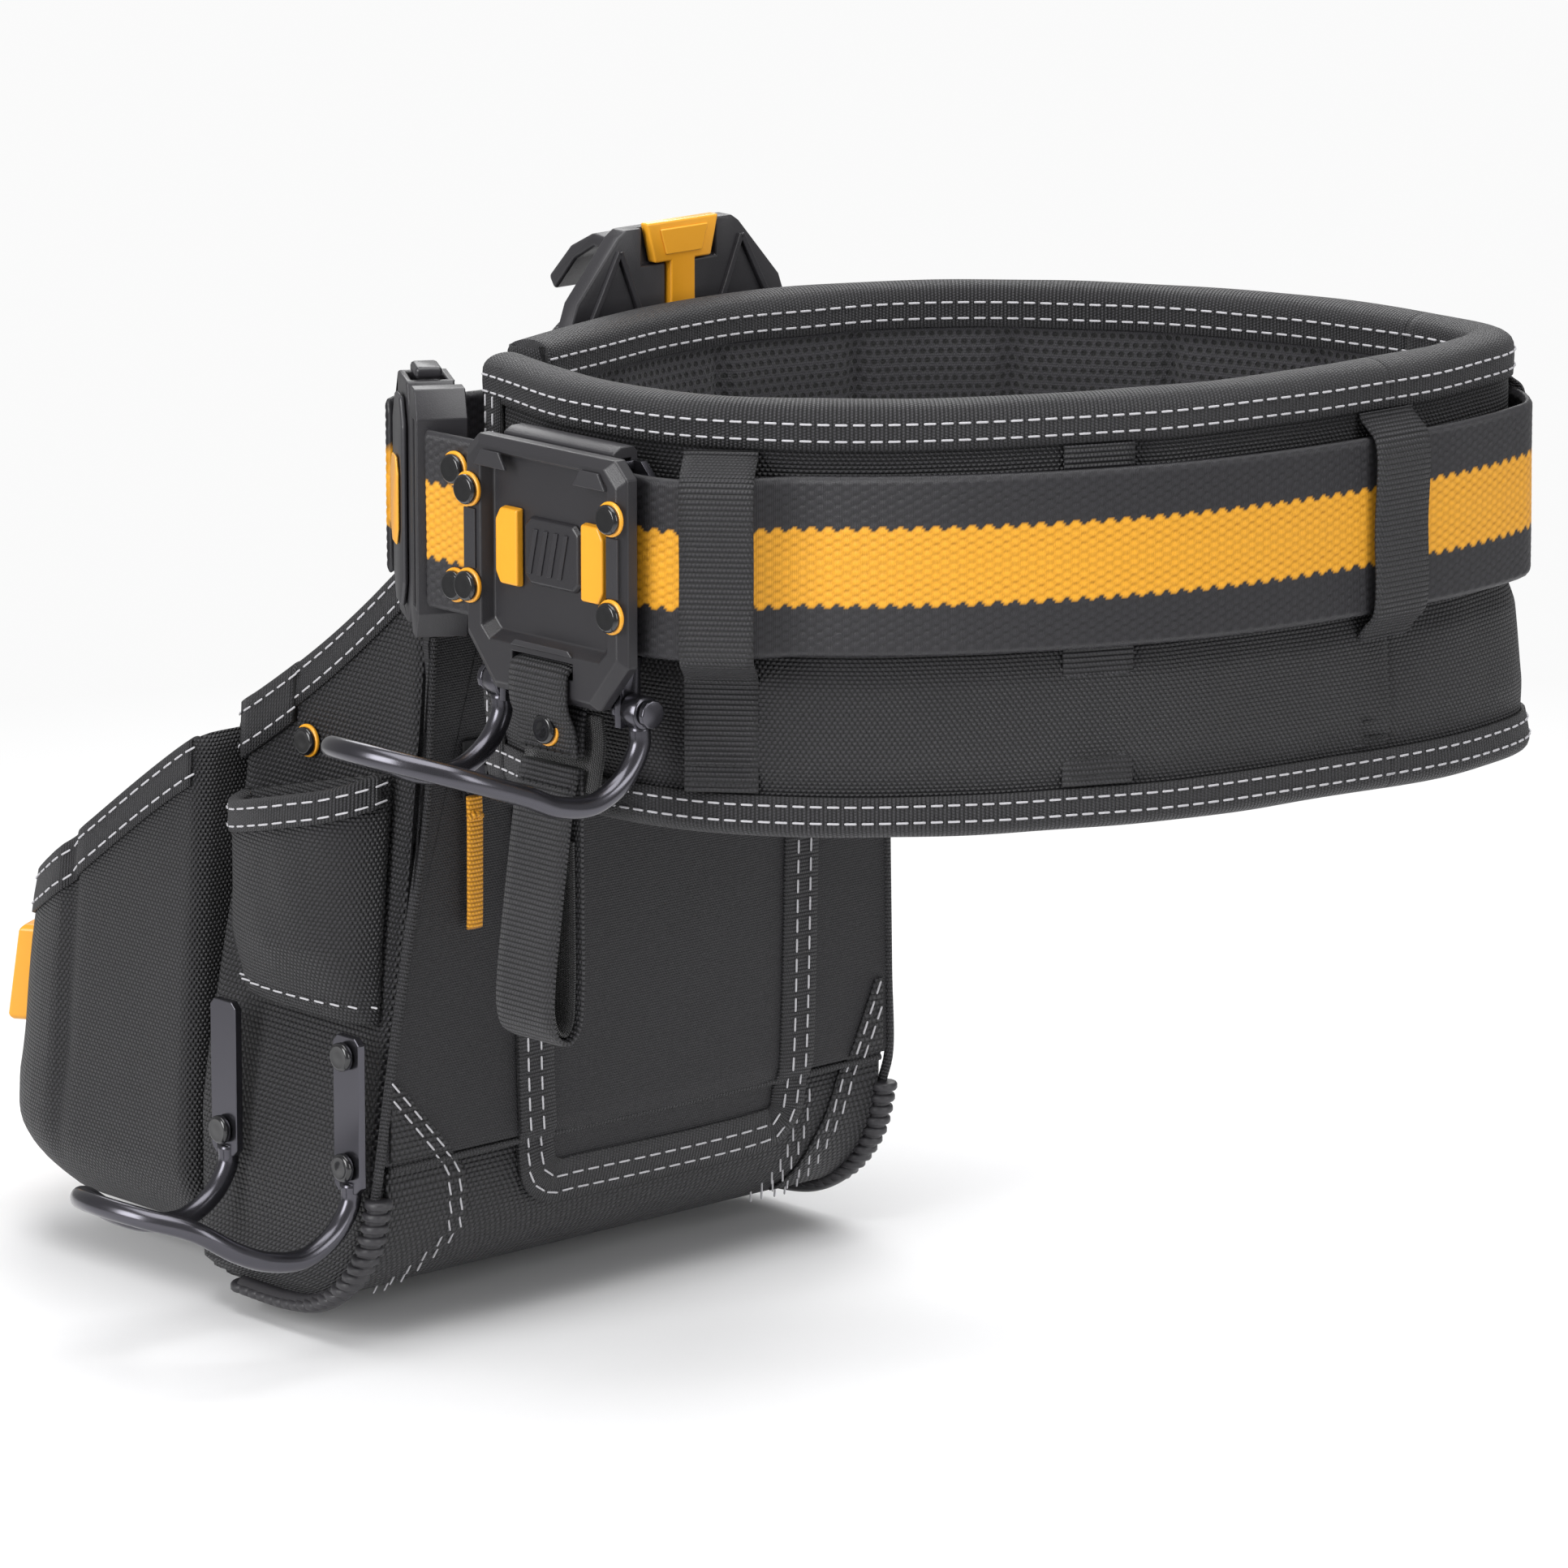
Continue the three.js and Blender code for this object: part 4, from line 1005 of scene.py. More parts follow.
# strap folded through the slot, then a hanging teardrop with pile inside
strapWide = 23.6
foldLine = [(-9.0, -57.4), (-9.9, -50), (-12.8, -42.8), (-13.0, -36), (-12.4, -32.4), (-9.5, -31.2),
            (-5.2, -31.4), (-4.2, -34), (-4.2, -41), (-6.0, -45.5), (-6.6, -50), (-6.6, -57.6)]
loopLine = [(-8.2, -60.6), (-10.4, -68), (-13.0, -84), (-16.2, -106), (-18.3, -122), (-18.6, -132),
            (-16.6, -138), (-12.4, -140.2), (-8.6, -136.6), (-7.2, -126), (-7.1, -104), (-7.2, -80),
            (-6.9, -60.8)]
pileLine = [(-11.3, -80), (-14.4, -104), (-16.6, -122), (-16.9, -131), (-15.3, -136.2), (-12.4, -138.2),
            (-10.0, -135.2), (-9.0, -125), (-8.9, -104), (-9.2, -82)]
fold = ribbon("strap_fold_tape", foldLine, strapWide, 2.0, strapCloth, onPlate)
keep(fold, "belt_left", "strap_webbing", "strap_fold")
loopTape = ribbon("loop", loopLine, strapWide, 2.0, strapCloth, onPlate)
pile = ribbon("pile", pileLine, 20.5, 1.2, fuzzCloth, onPlate)
keep(joined("strap_loop_tape", [loopTape, pile]), "strap_end", "strap_webbing", "strap_loop")
for name, body, half, points in (("fold", "belt_left", 9, ((-11.2, -44.6), (-10.6, -56.4))),
                                 ("loop", "strap_end", 9.5, ((-11.2, -66.4), (-11.9, -70.8)))):
    rows = [[(-half, y, z), (half, y, z)] for y, z in points]
    sew(f"strap_{name}_stitches", rows, [(0, -1, 0)] * 2, body, "strap_webbing", smallStitch, darkThread, 2.6,
        onPlate)
print("buckle, holder and strap made")

# ---------- pouch: u runs towards the rear, b away from the hip
pouch = {"floor": -256, "front": 90, "round": 44, "wall": 2.4, "back": 2.5, "shift": 8.5,
         "pocketFloor": -246, "pocketFront": 208, "pocketCorner": 50}
roundCentre = pouch["floor"] + pouch["round"]
pouchStitch = stitchUnit("pouch_stitch_unit", {"long": 4.3, "wide": 0.66})
pouchPitch = 6.1


def pouchStitches(name, rows, slotName="nylon", facings=None):
    facings = facings or [(0, -1, 0)] * len(rows)
    sew(name, rows, facings, "pouch", slotName, pouchStitch, thread, pouchPitch, onPouch)


def keepPouch(piece, slotName, *nodes):
    keep(piece, "pouch", slotName, *nodes)


def halfWidth(z, side):
    widths = [81, 82, 86, 105] if side == "front" else [97, 97, 99, 101]
    return np.interp(-np.asarray(z, float), [0, 40, 100, 205], widths)


def roundedPlan(x0, x1, y0, y1, rBack, rFront, steps=9):
    points = []
    for cx, cy, r, start in ((x1 - rFront, y1 - rFront, rFront, 0), (x0 + rFront, y1 - rFront, rFront, 90),
                             (x0 + rBack, y0 + rBack, rBack, 180), (x1 - rBack, y0 + rBack, rBack, 270)):
        for a in np.radians(np.linspace(start, start + 90, steps)):
            points.append((cx + r * math.cos(a), cy + r * math.sin(a)))
    return points


def evenLoop(points, n):
    loop = Line(np.array(points + points[:1]))
    return loop.at(np.linspace(0, loop.length, n, endpoint=False))


def bodyBack(z):
    sunk = np.maximum(0, roundCentre - z)
    return pouch["back"] + pouch["round"] - math.sqrt(max(0, pouch["round"] ** 2 - sunk ** 2))


def bodyPlan(z, inset):
    tuck = max(0, 1 - (z - pouch["floor"]) / 7) ** 2 * 5 + inset
    return roundedPlan(-float(halfWidth(z, "front")) + tuck, float(halfWidth(z, "rear")) - tuck,
                       bodyBack(z) + inset, pouch["front"] - tuck, 4, 8)


def pocketPlan(z, inset):
    rise = max(0, (z + 215) / 90)
    tuck = max(0, 1 - (z - pouch["pocketFloor"]) / 22) ** 2 * 11 + inset
    front = pouch["pocketFront"] - 12 * rise - tuck
    half = 106 - 6 * rise - tuck
    return roundedPlan(-half, half, 90.4 + inset, front, 5, pouch["pocketCorner"] - inset, 12)


sleeve = {"low": -164.5, "rear": 14.5, "front": 82}


def sleevePlan(z, inset):
    sunk = max(0, -100 - z) / 65
    deep = 18 * min(1, 0.2 + (z - sleeve["low"]) / 26) ** 0.6 - 1.6 * inset
    y0, y1 = sleeve["rear"] - 8 * sunk + inset, sleeve["front"] - 15 * sunk - inset
    x = -float(halfWidth(z, "front")) - 0.5 - inset
    arc = [(x - deep * math.sin(a) ** 0.7, (y0 + y1) / 2 - (y1 - y0) / 2 * math.cos(a))
           for a in np.linspace(0, math.pi, 40)]
    return arc[::-1]


def mouthLevel(slope, b):
    (b0, z0), (b1, z1) = slope
    return z0 + (z1 - z0) * np.clip((b - b0) / (b1 - b0), -0.2, 1.2)


def tub(node, plan, floor, slope, material, n, rows, soften, mouthDip):
    plans = {}

    def planAt(z, inset):
        key = (round(z, 1), inset)
        if key not in plans:
            plans[key] = evenLoop(plan(key[0], inset), n)
        return plans[key]

    def ring(k, inset):
        guess = planAt(floor + 60, inset)
        for _ in range(2):
            top = mouthLevel(slope, guess[:, 1]) + mouthDip(guess)
            z = floor + inset * (1 - k) + (top - floor - inset * (1 - k)) * k
            guess = np.array([planAt(float(one), inset)[j] for j, one in enumerate(z)])
        return np.concatenate([guess, z[:, None]], 1)

    share = np.linspace(0, 1, rows) ** 1.25
    outer, inner = (np.array([ring(k, inset) for k in share]) for inset in (0, pouch["wall"]))
    away = unitLong(outer[:, :, :2] - outer[:, :, :2].mean(1, keepdims=True))
    push = soften(outer)[..., None] * away
    outer[..., :2] += push
    inner[..., :2] += push
    around = Line(np.vstack([outer[rows // 2], outer[rows // 2, :1]])).far
    grid = np.concatenate([outer, inner[::-1]])
    level = np.concatenate([grid[..., 2], grid[:, :1, 2]], 1)
    uv = np.stack([np.broadcast_to(around, level.shape), level], -1)
    keepPouch(gridObject(node + "_cloth", grid, material, place=onPouch, uv=uv), "nylon", node)
    return outer, inner


def edgeTape(name, points, inward, facing, wide, sheet, material=tapeCloth, cover=1.0, closed=False):
    points, inward, facing = (np.vstack([v, v[:1]]) if closed else v for v in (points, inward, facing))
    line = Line(points)
    s = line.stations(0, line.length, 2.0)
    p, i, f = line.at(s), unitLong(line.carry(s, inward)), unitLong(line.carry(s, facing))
    g = 0.12
    low = -sheet - g
    fold = [(-0.9 * math.sin(a), -sheet / 2 + (sheet / 2 + g + cover) * math.cos(a))
            for a in np.linspace(0, math.pi, 9)]
    a = np.array([(wide, g + 0.1), (wide - 0.3, g + cover), (wide * 0.6, g + cover + 0.15),
                  (wide * 0.25, g + cover), *fold, (wide * 0.25, low - cover),
                  (wide * 0.6, low - cover - 0.15), (wide - 0.3, low - cover), (wide, low - 0.1),
                  (wide * 0.5, low), (0.3, low), (0.3, g), (wide * 0.5, g)])
    grid = p[:, None] + i[:, None] * a[None, :, :1] + f[:, None] * a[None, :, 1:]
    girth = np.concatenate([[0], np.cumsum(np.hypot(*np.diff(a, axis=0).T))])
    uv = np.stack(np.meshgrid(s, np.append(girth, girth[-1] + 3), indexing="ij"), -1)
    keepPouch(gridObject(name, grid, material, place=onPouch, uv=uv), "binding_tape")
    lift = g + cover + 0.25
    rows = [p + i * wide * r + f * h for h in (lift, -sheet - lift) for r in (0.2, 0.78)]
    pouchStitches(name + "_stitches", rows, "binding_tape", [f, f, -f, -f])


def bodySoft(p):
    hang = ease((p[..., 2] + 250) / 60) * ease((-25 - p[..., 2]) / 60)
    flatBack = ease((p[..., 1] - 6) / 12)
    return hang * flatBack * (1.5 * waves(p[..., 0] / 34, p[..., 2] / 30, 2.1) - 1.0)


bodyOuter, bodyInner = tub(
    "pouch_body", bodyPlan, pouch["floor"], ((2.5, -19), (90, -84)), baseNylon, 150, 34, bodySoft,
    lambda g: -3.5 * np.sin(np.clip((g[:, 1] - 3) / 87, 0, 1) * math.pi))


def pocketSoft(p):
    hang = ease((p[..., 2] + 246) / 50)
    open_ = ease((p[..., 1] - 96) / 20)
    pleat = np.exp(-((p[..., 1] - 150 + 0.05 * (p[..., 2] + 100)) / 3.2) ** 2) * (np.abs(p[..., 0]) > 60)
    full = 1.8 * waves(p[..., 0] / 38, p[..., 2] / 33, 5.2)
    return hang * open_ * (full - 2.6 * pleat) - 0.6


pocketOuter, pocketInner = tub(
    "front_pocket", pocketPlan, pouch["pocketFloor"], ((90, -90), (208, -157)), nylon, 190, 34, pocketSoft,
    lambda g: -9 * np.sin(np.clip((g[:, 1] - 94) / 114, 0, 1) ** 1.6 * math.pi))
knifeOuter, knifeInner = tub(
    "knife_sleeve", sleevePlan, sleeve["low"], ((14.5, -91), (82, -107)), nylon, 70, 24,
    lambda p: 0.9 * waves(p[..., 1] / 15, p[..., 2] / 16, 3.3) * ease((p[..., 2] + 164) / 20) - 0.2,
    lambda g: -3.0 * np.clip((-g[:, 0] - 88) / 14, 0, 1))


def bindMouth(name, outer, inner, wide, choose=None, **more):
    top = outer[-1]
    run = np.roll(top, -1, 0) - np.roll(top, 1, 0)
    facing = unitLong(np.stack([run[:, 1], -run[:, 0], 0 * run[:, 0]], -1), 1e-6)
    if np.sum(facing * (top - top.mean(0))) < 0:
        facing = -facing
    pick = np.arange(len(top)) if choose is None else choose(top)
    inward = unitLong(outer[-4] - top)
    edgeTape(name, top[pick], inward[pick], facing[pick], wide, pouch["wall"], closed=choose is None, **more)


def openRun(keepIf):
    def choose(top):
        flags = keepIf(top)
        start = int(np.argmax(flags & ~np.roll(flags, 1)))
        order = (start + np.arange(len(top))) % len(top)
        return order[flags[order]]
    return choose


bindMouth("body_mouth_tape", bodyOuter, bodyInner, 13, openRun(lambda t: t[:, 1] > 5.5))
bindMouth("pocket_mouth_tape", pocketOuter, pocketInner, 14, openRun(lambda t: t[:, 1] > 94))
hem = knifeOuter[3]
hem = hem[hem[:, 0] < -float(halfWidth(-160, "front")) - 2.5] + np.array([-0.5, 0, 0])
pouchStitches("sleeve_hem_stitches", [hem[np.argsort(hem[:, 1])]], facings=[(-1, 0, 0)])
sleeveEdge = -float(halfWidth(-95, "front")) - 3
bindMouth("sleeve_mouth_tape", knifeOuter, knifeInner, 9, openRun(lambda t: t[:, 0] < sleeveEdge))
print("pouch shells made")

# back panel with a bound arch
panelThick = 2.2
archTop = [(pouch["shift"] - 55 * math.cos(a), 12 + 38 * math.sin(a))
           for a in np.linspace(0.25, math.pi - 0.25, 11)]
archPoints = [(-84.5, -50), (-80, -36), (-64, -12), (-46.5, 12), *archTop,
              (63.5, 12), (80, -12), (93, -32), (97, -50)]
archLine = spline(archPoints, 8)[:, :2]
panelRear = [(float(halfWidth(z, "rear")) - 1.2, z) for z in (-70, -100, -150, -202)] + [(98.6, -205.8)]
panelFront = [(1.2 - float(halfWidth(z, "front")), z) for z in (-202, -150, -100, -70)]
panelOutline = [tuple(p) for p in archLine] + panelRear + [(-102.6, -205.8)] + panelFront


def backPanel():
    bm = bmesh.new()
    rings = [[bm.verts.new((x, y, z)) for x, z in panelOutline] for y in (0, panelThick)]
    wall(bm, *rings)
    for ring in rings:
        bmesh.ops.triangulate(bm, faces=[bm.faces.new(ring)])
    for axis, normal in ((0, Vector((1, 0, 0))), (2, Vector((0, 0, 1)))):
        reach = [v.co[axis] for v in bm.verts]
        for level in np.arange(min(reach) + 8, max(reach), 8):
            bmesh.ops.bisect_plane(bm, geom=bm.verts[:] + bm.edges[:] + bm.faces[:], dist=1e-4,
                                   plane_co=normal * level, plane_no=normal)
    layer = bm.loops.layers.uv.new("UVMap")
    for face in bm.faces:
        for corner in face.loops:
            corner[layer].uv = (corner.vert.co.x * mm, corner.vert.co.z * mm)
    mesh = finished("back_panel_cloth", bm, onPouch)
    mesh.set_sharp_from_angle(angle=math.radians(50))
    keepPouch(makeObject("back_panel_cloth", mesh, smoothNylon), "nylon", "pouch_panel")


def sideways(run, way):  # across a run that lies in the xz plane
    step = np.gradient(run, axis=0)
    return unitLong(way * np.stack([step[:, 2], 0 * step[:, 0], -step[:, 0]], -1))


backPanel()
archRun = np.array([(x, 0.0, z) for x, z in archLine if x > -71])  # the webbing tail lies beyond
archFacing = np.tile([0.0, -1.0, 0.0], (len(archRun), 1))
edgeTape("arch_tape", archRun, sideways(archRun, 1), archFacing, 12, panelThick)


def backPoint(u, z, lift):  # on the pouch's hip side, lifted off the cloth
    u, z = np.broadcast_arrays(np.asarray(u, float), np.asarray(z, float))
    sunk = np.clip(roundCentre - z, 0, pouch["round"] - 0.2)
    r = pouch["round"] + lift
    low = pouch["back"] + pouch["round"] - np.sqrt(np.maximum(r ** 2 - (sunk * r / pouch["round"]) ** 2, 0))
    t = ease((-203 - z) / 7)
    drop = np.where(sunk > 0, lift * sunk / pouch["round"], 0)
    return np.stack([u, (1 - t) * -lift + t * low, z - drop], -1)


def liftedSheet(name, u, z, lifts, material, v=None):  # a sheet lying on the pouch's hip side
    top, low = (backPoint(u, z, lift) for lift in lifts)
    grid = np.concatenate([top, low[:, ::-1]], 1)
    uv = np.stack([grid[..., 0], grid[..., 2] if v is None else v + 0 * grid[..., 2]], -1)
    return gridObject(name, grid, material, place=onPouch, uv=uv)


def cornerPatch(name, way):
    edge = float(halfWidth(-210, "front" if way < 0 else "rear")) - 4
    curve = roundCentre - pouch["round"] * np.sin(np.linspace(0.08, 1.05, 16))
    z = np.concatenate([np.linspace(-182, -212, 12), curve])
    reach = np.interp(-z, [182, 212, 232, 251], [4, 30, 34, 20] if way < 0 else [3, 17, 23, 25])
    u = way * (edge - reach[:, None] * np.linspace(0, 1, 12)[None, :])
    v = 2.4 * np.arange(1, len(z) + 1)[:, None]
    keepPouch(liftedSheet(name, u, z[:, None] + 0 * u, (0.85, 0.1), baseNylon, v), "nylon")
    rows = []
    for inset in (2.2, 6.4):
        sewn = reach > inset + 1
        rows.append(backPoint(way * (edge - reach[sewn] + inset), z[sewn], 1.1))
    pouchStitches(name + "_stitches", rows)


cornerPatch("corner_patch_left", -1)
cornerPatch("corner_patch_right", 1)

# seams: piping up the sides of the panel, a welt where the base cloth starts
pipes = []
for way, side, end in ((-1, "front", 104.2), (1, "rear", 100.2)):
    points = [(way * (float(halfWidth(z, side)) - 0.4), 0.6, z) for z in (-48, -70, -100, -140, -180, -207)]
    points += [tuple(backPoint(way * end, z, -0.3)) for z in (-216, -224)]
    pipes.append(tube("pipe", points, 1.5, tapeCloth, onPouch, 12, 2))
welt = [tuple(backPoint(u, -207.5, 0.9)) for u in (-101, -60, -20, 20, 60, 97)]
pipes.append(tube("pipe", welt, 1.1, tapeCloth, onPouch, 10, 2.5))
keepPouch(joined("pouch_seams", pipes), "binding_tape")

# zipped pocket against the hip: flap edged with tape, stitched twice
flapLine = spline([(-52.5, -122), (-49.5, -214), (-46, -223), (-37, -228.5), (-25, -229), (48, -229),
                   (57, -227.5), (63.5, -221), (66, -212), (69.4, -122)], 8)[:, :2]


def flapCloth():
    z = np.linspace(-104.5, -228.6, 34)
    half = len(flapLine) // 2
    left, right = (np.interp(-z, -side[:half, 1], side[:half, 0])[:, None]
                   for side in (flapLine, flapLine[::-1]))
    u = left + (right - left) * np.linspace(0, 1, 34)[None, :]
    level = z[:, None] + 0 * u
    gap = np.minimum(np.minimum(u - left, right - u), np.minimum(level + 229, 30))
    full = ease((gap - 8) / 20) * ease((-104 - level) / 8 + 0.2)
    lift = 0.9 + 1.3 * full * (0.8 + 0.3 * waves(u / 26, level / 24, 0.6))
    keepPouch(liftedSheet("back_pocket_cloth", u, level, (lift, 0.3), smoothNylon), "nylon", "back_pocket")


def flapTape(name, wide, lifts, rowsAt):
    run = np.array([tuple(backPoint(x, z, 1.5)) for x, z in flapLine])
    line = Line(run)
    s = line.stations(0, line.length, 2.0)
    p, i = line.at(s), line.carry(s, sideways(run, -1))

    def onBack(across, lift):
        return np.array([tuple(backPoint(*(q + v * across)[[0, 2]], lift)) for q, v in zip(p, i)])

    across = wide * np.linspace(0, 1, 5)
    loop = [(a, lifts[1]) for a in across] + [(a, lifts[0]) for a in across[::-1]]
    grid = np.stack([onBack(a, lift) for a, lift in loop], 1)
    uv = np.stack(np.meshgrid(s, [a for a, lift in loop] + [0], indexing="ij"), -1)
    keepPouch(gridObject(name, grid, tapeCloth, place=onPouch, uv=uv), "binding_tape")
    pouchStitches(name + "_stitches", [onBack(wide * r, lifts[1] + 0.15) for r in rowsAt], "binding_tape")


flapCloth()
flapTape("back_pocket_tape", 13.5, (0.7, 1.9), (0.24, 0.62))
seamRows = [np.array([tuple(backPoint(u, z, 0.9)) for z in np.linspace(-215, -250, 20)]) for u in (64, 68.5)]
pouchStitches("base_seam_stitches", seamRows)

# zip: tape, two rows of teeth, slider above, braided pull
zipZ = -90
leaves = [solidFrom("leaf", boxPoints(-72, 72, zipZ + a, zipZ + b), (front, -0.3), zipCloth, onPouch, edge)
          for a, b, front, edge in ((-9, -1.2, -1.3, 0.2), (1.2, 9, -1.3, 0.2), (-1.6, 1.6, -0.9, 0))]
keepPouch(joined("zip_tape_cloth", leaves), "zip_tape", "zip_tape")
toothPoints = [(x, y, z) for x in (-0.42, 0.42) for y in (-1.5, 1.5) for z in (0, 0.9)]
toothFaces = [(0, 1, 3, 2), (4, 6, 7, 5), (0, 4, 5, 1), (2, 3, 7, 6), (0, 2, 6, 4), (1, 5, 7, 3)]
tooth = unitObject("tooth_unit", toothPoints, toothFaces, False)
teethRows = [[(-71 + k, -1.0, zipZ + up), (71 + k, -1.0, zipZ + up)] for k, up in ((0, 0.6), (0.7, -0.6))]
sew("zip_teeth", teethRows, [(0, -1, 0)] * 2, "pouch", "zip_tape", tooth, gripPlastic, 1.5, onPouch)
pullLine = [(-3.3, -97), (-3.6, -104), (-3.5, -118), (-3.3, -134), (-3.1, -137.5)]
pull = ribbon("pull", pullLine, 5.6, 1.5, cordCloth, onPouch, centre=-70)
knotLine = [(-72.6, -3.4, -103.6), (-70, -4.3, -102.6), (-67.4, -3.4, -103.6)]
knot = tube("knot", knotLine, 1.05, cordCloth, onPouch, 10, 0.8)
keep(joined("zip_pull_cord", [pull, knot]), "zip_pull", "yellow_cord", "zip_pull")
print("pouch back made")

# rubber guards: a core with ribs round it
ribProfile = [[2.6, -1.35], [3.9, -1.2], [4.3, -0.6], [4.3, 0.6], [3.9, 1.2], [2.6, 1.35]]
ribUnit = turnedUnit("rib_unit", ribProfile, 18)
ribUnit.data.transform(Matrix.Rotation(math.pi / 2, 4, "Y"))
for name, way, side in (("left", -1, 105), ("right", 1, 101)):
    r = pouch["round"] + 0.9
    run = [(way * (side - 1.2 - 1.6 * math.sin(a) ** 4), pouch["back"] + pouch["round"] - r * math.cos(a),
            roundCentre - r * math.sin(a)) for a in np.radians([7, 27, 48, 69, 90])]
    run.append((way * (side - 2.8), 68, roundCentre - pouch["round"] - 0.9))
    core = tube("core", run, 3.1, rubber, onPouch, 16, 1.5)
    ribs = repeated("ribs", alongTree, [spline(run, 14)], [(0, -1, 0)], ribUnit, rubber, 3.9, onPouch)
    keepPouch(joined(f"edge_guard_{name}_ribbed", [core, ribs]), "rubber", f"edge_guard_{name}")

# fixed wire ring on the side wall
barX, barMiddle = -109.2, 37.5
onSide = onPouch @ Matrix.Translation((barX, barMiddle, 0)) @ Matrix.Rotation(-math.pi / 2, 4, "Z")
loopWire = tube("wire", [(x, y, z - 207) for x, y, z in ringPoints(71)], 3.15, blackSteel, onSide)
barOutline = [(-6, -212), (-4, -214), (4, -214), (6, -212), (6, -168), (4, -166), (-4, -166), (-6, -168)]
bars = [solidFrom("bar", [(way * 29 + x, z) for x, z in barOutline], (-1.3, 1.3), blackSteel, onSide, 0.35)
        for way in (-1, 1)]
keepPouch(joined("pouch_ring_wire", [loopWire, *bars]), "black_steel", "pouch_ring")
ringRivets = [[(barX - 1.5, b, z)] for b, z in ((8.5, -172), (8.5, -206), (66.5, -206))]
caps = repeated("pouch_ring_caps", atTree, ringRivets, [(-1, 0, 0)] * 3, rivetCap, capSteel, place=onPouch)
keepPouch(caps, "black_steel", "pouch_ring_rivet_rear_upper", "pouch_ring_rivet_rear_lower",
          "pouch_ring_rivet_front_lower")
rivets("pouch_side_rivets", "pouch", [(-85.2, 55, -88)], (-1, 0, 0), [], onPouch)

# sewn tape round the joint of the two mouths
for name, way in (("left", -1), ("right", 1)):
    def nearJoint(top):
        return np.flatnonzero((top[:, 0] * way > 60) & (top[:, 1] > 60) & (top[:, 1] < 87.5))
    bindMouth(f"mouth_joint_tape_{name}", bodyOuter, bodyInner, 17.5, nearJoint, cover=2.4,
              material=strapCloth)
rivets("mouth_joint_rivets", "pouch", [(-76.5, 91.3, -91.5), (91.5, 91.3, -91.5)], (0, 1, 0), [], onPouch)
tongueLine = [(-3.0, -45.5), (-2.2, -54), (-3.6, -62), (-5.0, -68)]
tongue = ribbon("strap_tongue_pile", tongueLine, 32, 1.8, fuzzCloth, onPlate)
keep(tongue, "belt_left", "strap_webbing")


# badge on the pocket's curved front, and the clip above
def curvedBadge():
    rows = []
    for z, trim in ((-203, 1.4), (-201.6, 0), (-173.4, 0), (-172.0, 1.4)):
        rise = max(0, (z + 215) / 90)
        straight, centre = 106 - 6 * rise - 50, pouch["pocketFront"] - 12 * rise - 50
        row = []
        for r, way in ((50.4, 1), (50.4 + 6.5 - trim, -1)):
            right = [(straight + r * math.sin(a), centre + r * math.cos(a), z)
                     for a in np.radians(np.linspace(0, 34 - trim, 14))]
            row += ([(-x, y, z) for x, y, z in right[::-1]] + right)[::way]
        rows.append(row)
    piece = gridObject("front_badge_moulded", rows, yellowPlastic, place=onPouch)
    bevelled(piece, 0.7, 35)
    keepPouch(piece, "yellow_plastic", "front_badge")


curvedBadge()
refine("pouch_clip", blackPlastic, "black_plastic", 0.7)
refine("clip_latch", yellowPlastic, "yellow_plastic", 0.7)
truss = []
for way in (-1, 1):
    for a, b in (((36, 38), (24, 60)), ((24, 60), (15.6, 40)), ((36, 38), (15.6, 40))):
        a, b = Vector((way * a[0] + 8.5, a[1])), Vector((way * b[0] + 8.5, b[1]))
        n = (b - a).normalized().orthogonal() * 0.9
        outline = [tuple(p) for p in (a - n, b - n, b + n, a + n)]
        truss.append(solidFrom("truss", outline, (-8.0, -6.4), blackPlastic, onPouch, 0.3))
keepPouch(joined("clip_truss", truss), "black_plastic")
padOutline = [(1.5, 57.4), (15.5, 57.4), (17.9, 65.2), (-0.9, 65.2)]
thumb = solidFrom("clip_latch_pad", padOutline, (-9.2, -8.4), yellowPlastic, onPouch, 0.4)
keep(thumb, "latch", "yellow_plastic")
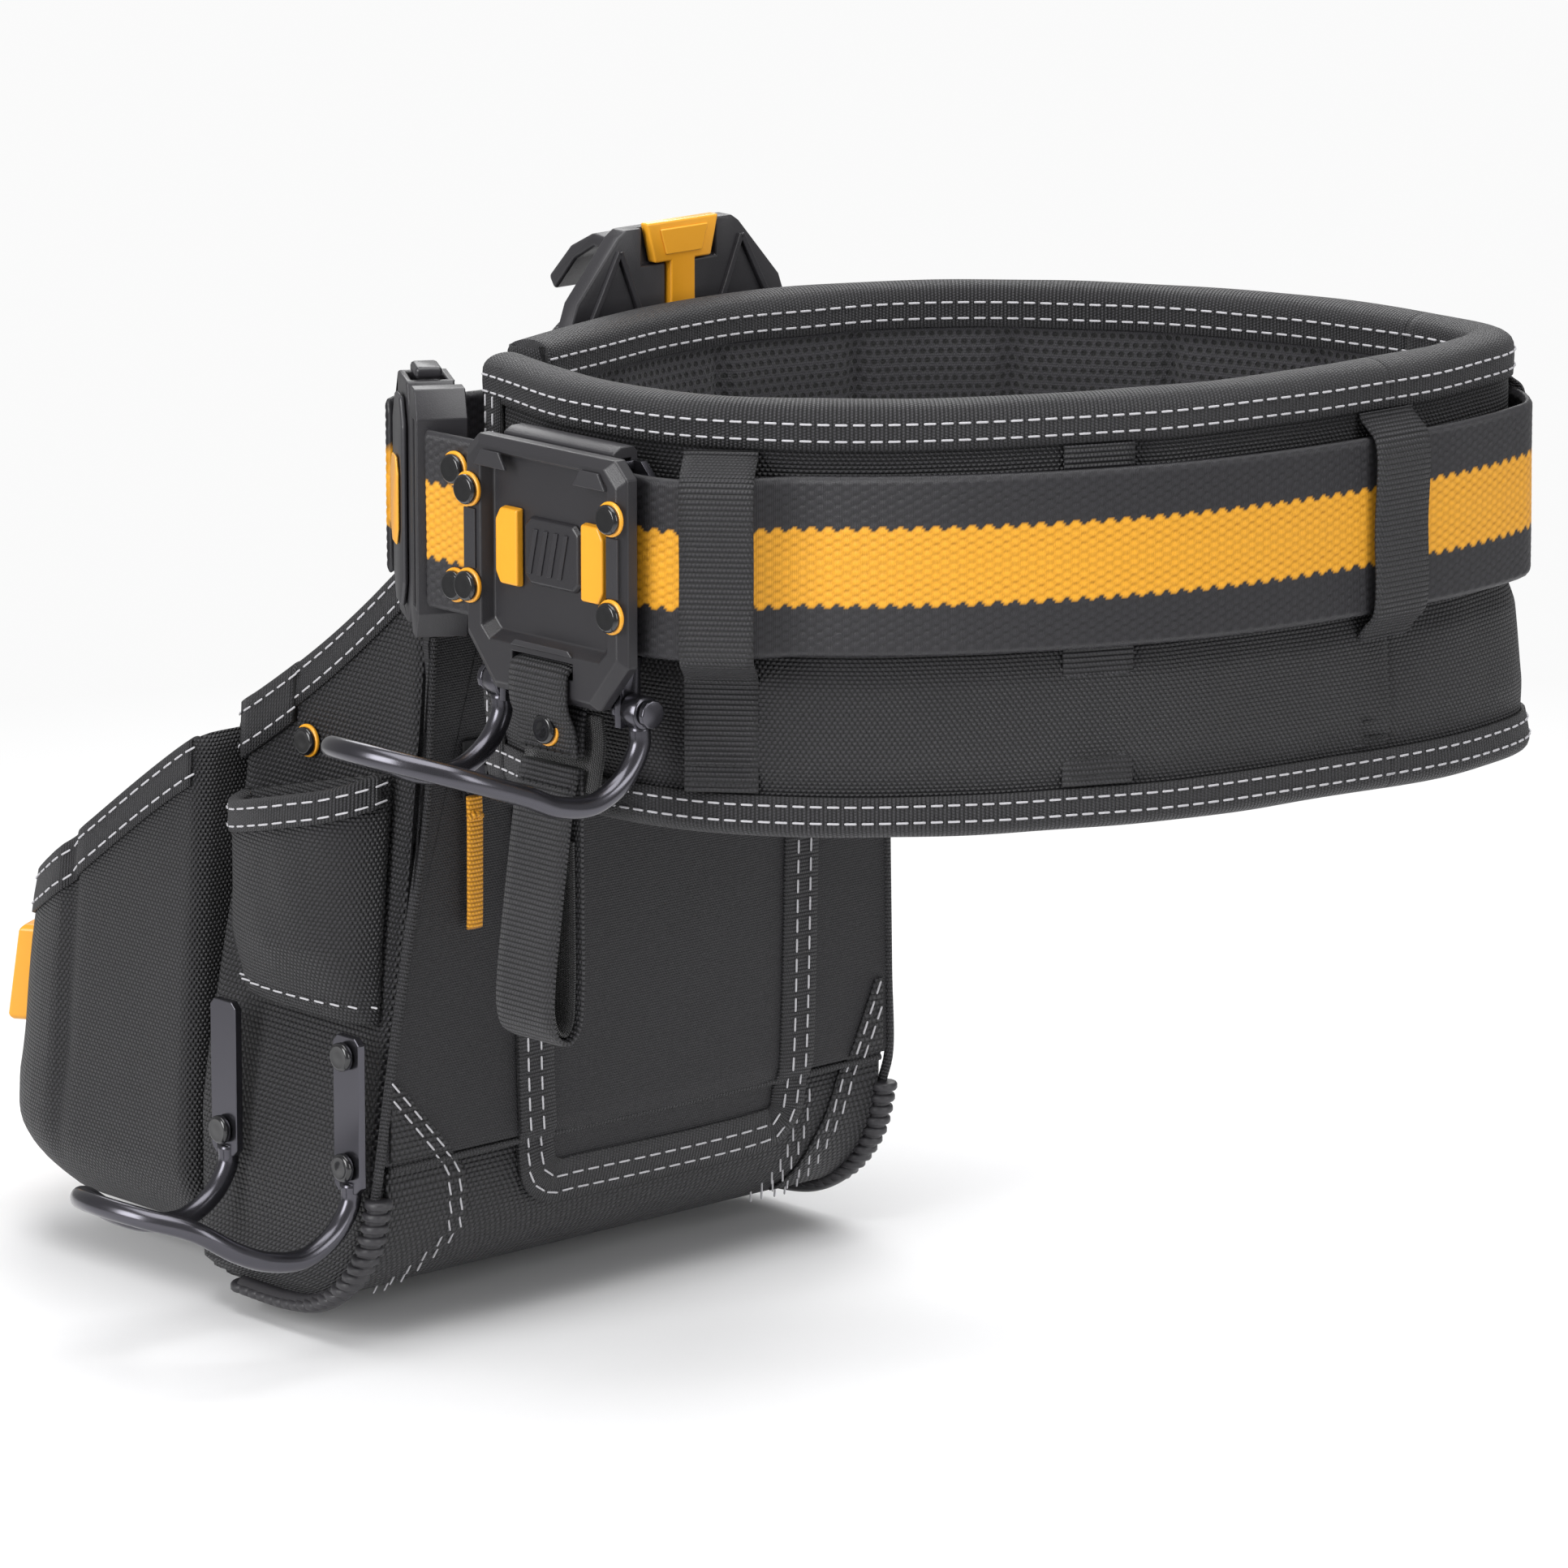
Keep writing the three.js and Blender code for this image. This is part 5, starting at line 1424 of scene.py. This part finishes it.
print("pouch made")


# ---------- surroundings
for unit in units:
    bpy.data.objects.remove(unit)


def cameraGlow(tree):  # brighter to the camera than as a light on the belt
    seen = addNode(tree, "ShaderNodeLightPath").outputs["Is Camera Ray"]
    return maths(tree, "ADD", maths(tree, "MULTIPLY", seen, 0.62), 0.34)


def makeFloor():
    mesh = bpy.data.meshes.new("studio_floor")
    corners = [(x, y, stage["floor"]) for x, y in ((-6, -6), (6, -6), (6, 6), (-6, 6))]
    mesh.from_pydata(corners, [], [(0, 1, 2, 3)])
    paper, tree, shader = startMaterial("studio_paper", stage["floorColour"], 0.9)
    place = addNode(tree, "ShaderNodeTexCoord").outputs["Object"]
    far = addNode(tree, "ShaderNodeVectorMath", {"operation": "LENGTH"}, {0: place}).outputs["Value"]
    fade = ramp(tree, maths(tree, "MULTIPLY", far, 0.5), [(0.2, 0.0), (0.5, 1.0)])  # from 0.4 m to 1 m
    glow = addNode(tree, "ShaderNodeEmission", {}, {"Strength": cameraGlow(tree)})
    both = addNode(tree, "ShaderNodeMixShader", {}, {0: fade, 1: shader.outputs[0], 2: glow.outputs[0]})
    tree.links.new(both.outputs[0], tree.nodes["Material Output"].inputs[0])
    makeObject("studio_floor", mesh, paper)


makeFloor()
world = bpy.data.worlds.new("studio")
world.use_nodes = True
backdrop = world.node_tree.nodes["Background"]
backdrop.inputs[0].default_value = (1, 1, 1, 1)
world.node_tree.links.new(cameraGlow(world.node_tree), backdrop.inputs[1])
bpy.context.scene.world = world
areaLight("top_light", (0.2, 0.0, 1.5), (0, 0, -0.1), (1.5, 1.5), 27)
areaLight("left_light", (0.8, -1.5, 0.45), (0, -0.05, -0.05), (0.8, 1.2), 25)
areaLight("right_light", (1.3, 1.2, 0.5), (0, 0.05, -0.1), (0.7, 1.2), 12)
areaLight("rear_light", (-1.4, 0.3, 0.9), (0, 0, 0), (1.2, 0.8), 12)
makeCamera()
bpy.context.scene.view_settings.view_transform = "Standard"

print("scene done:", len(shown), "pieces")
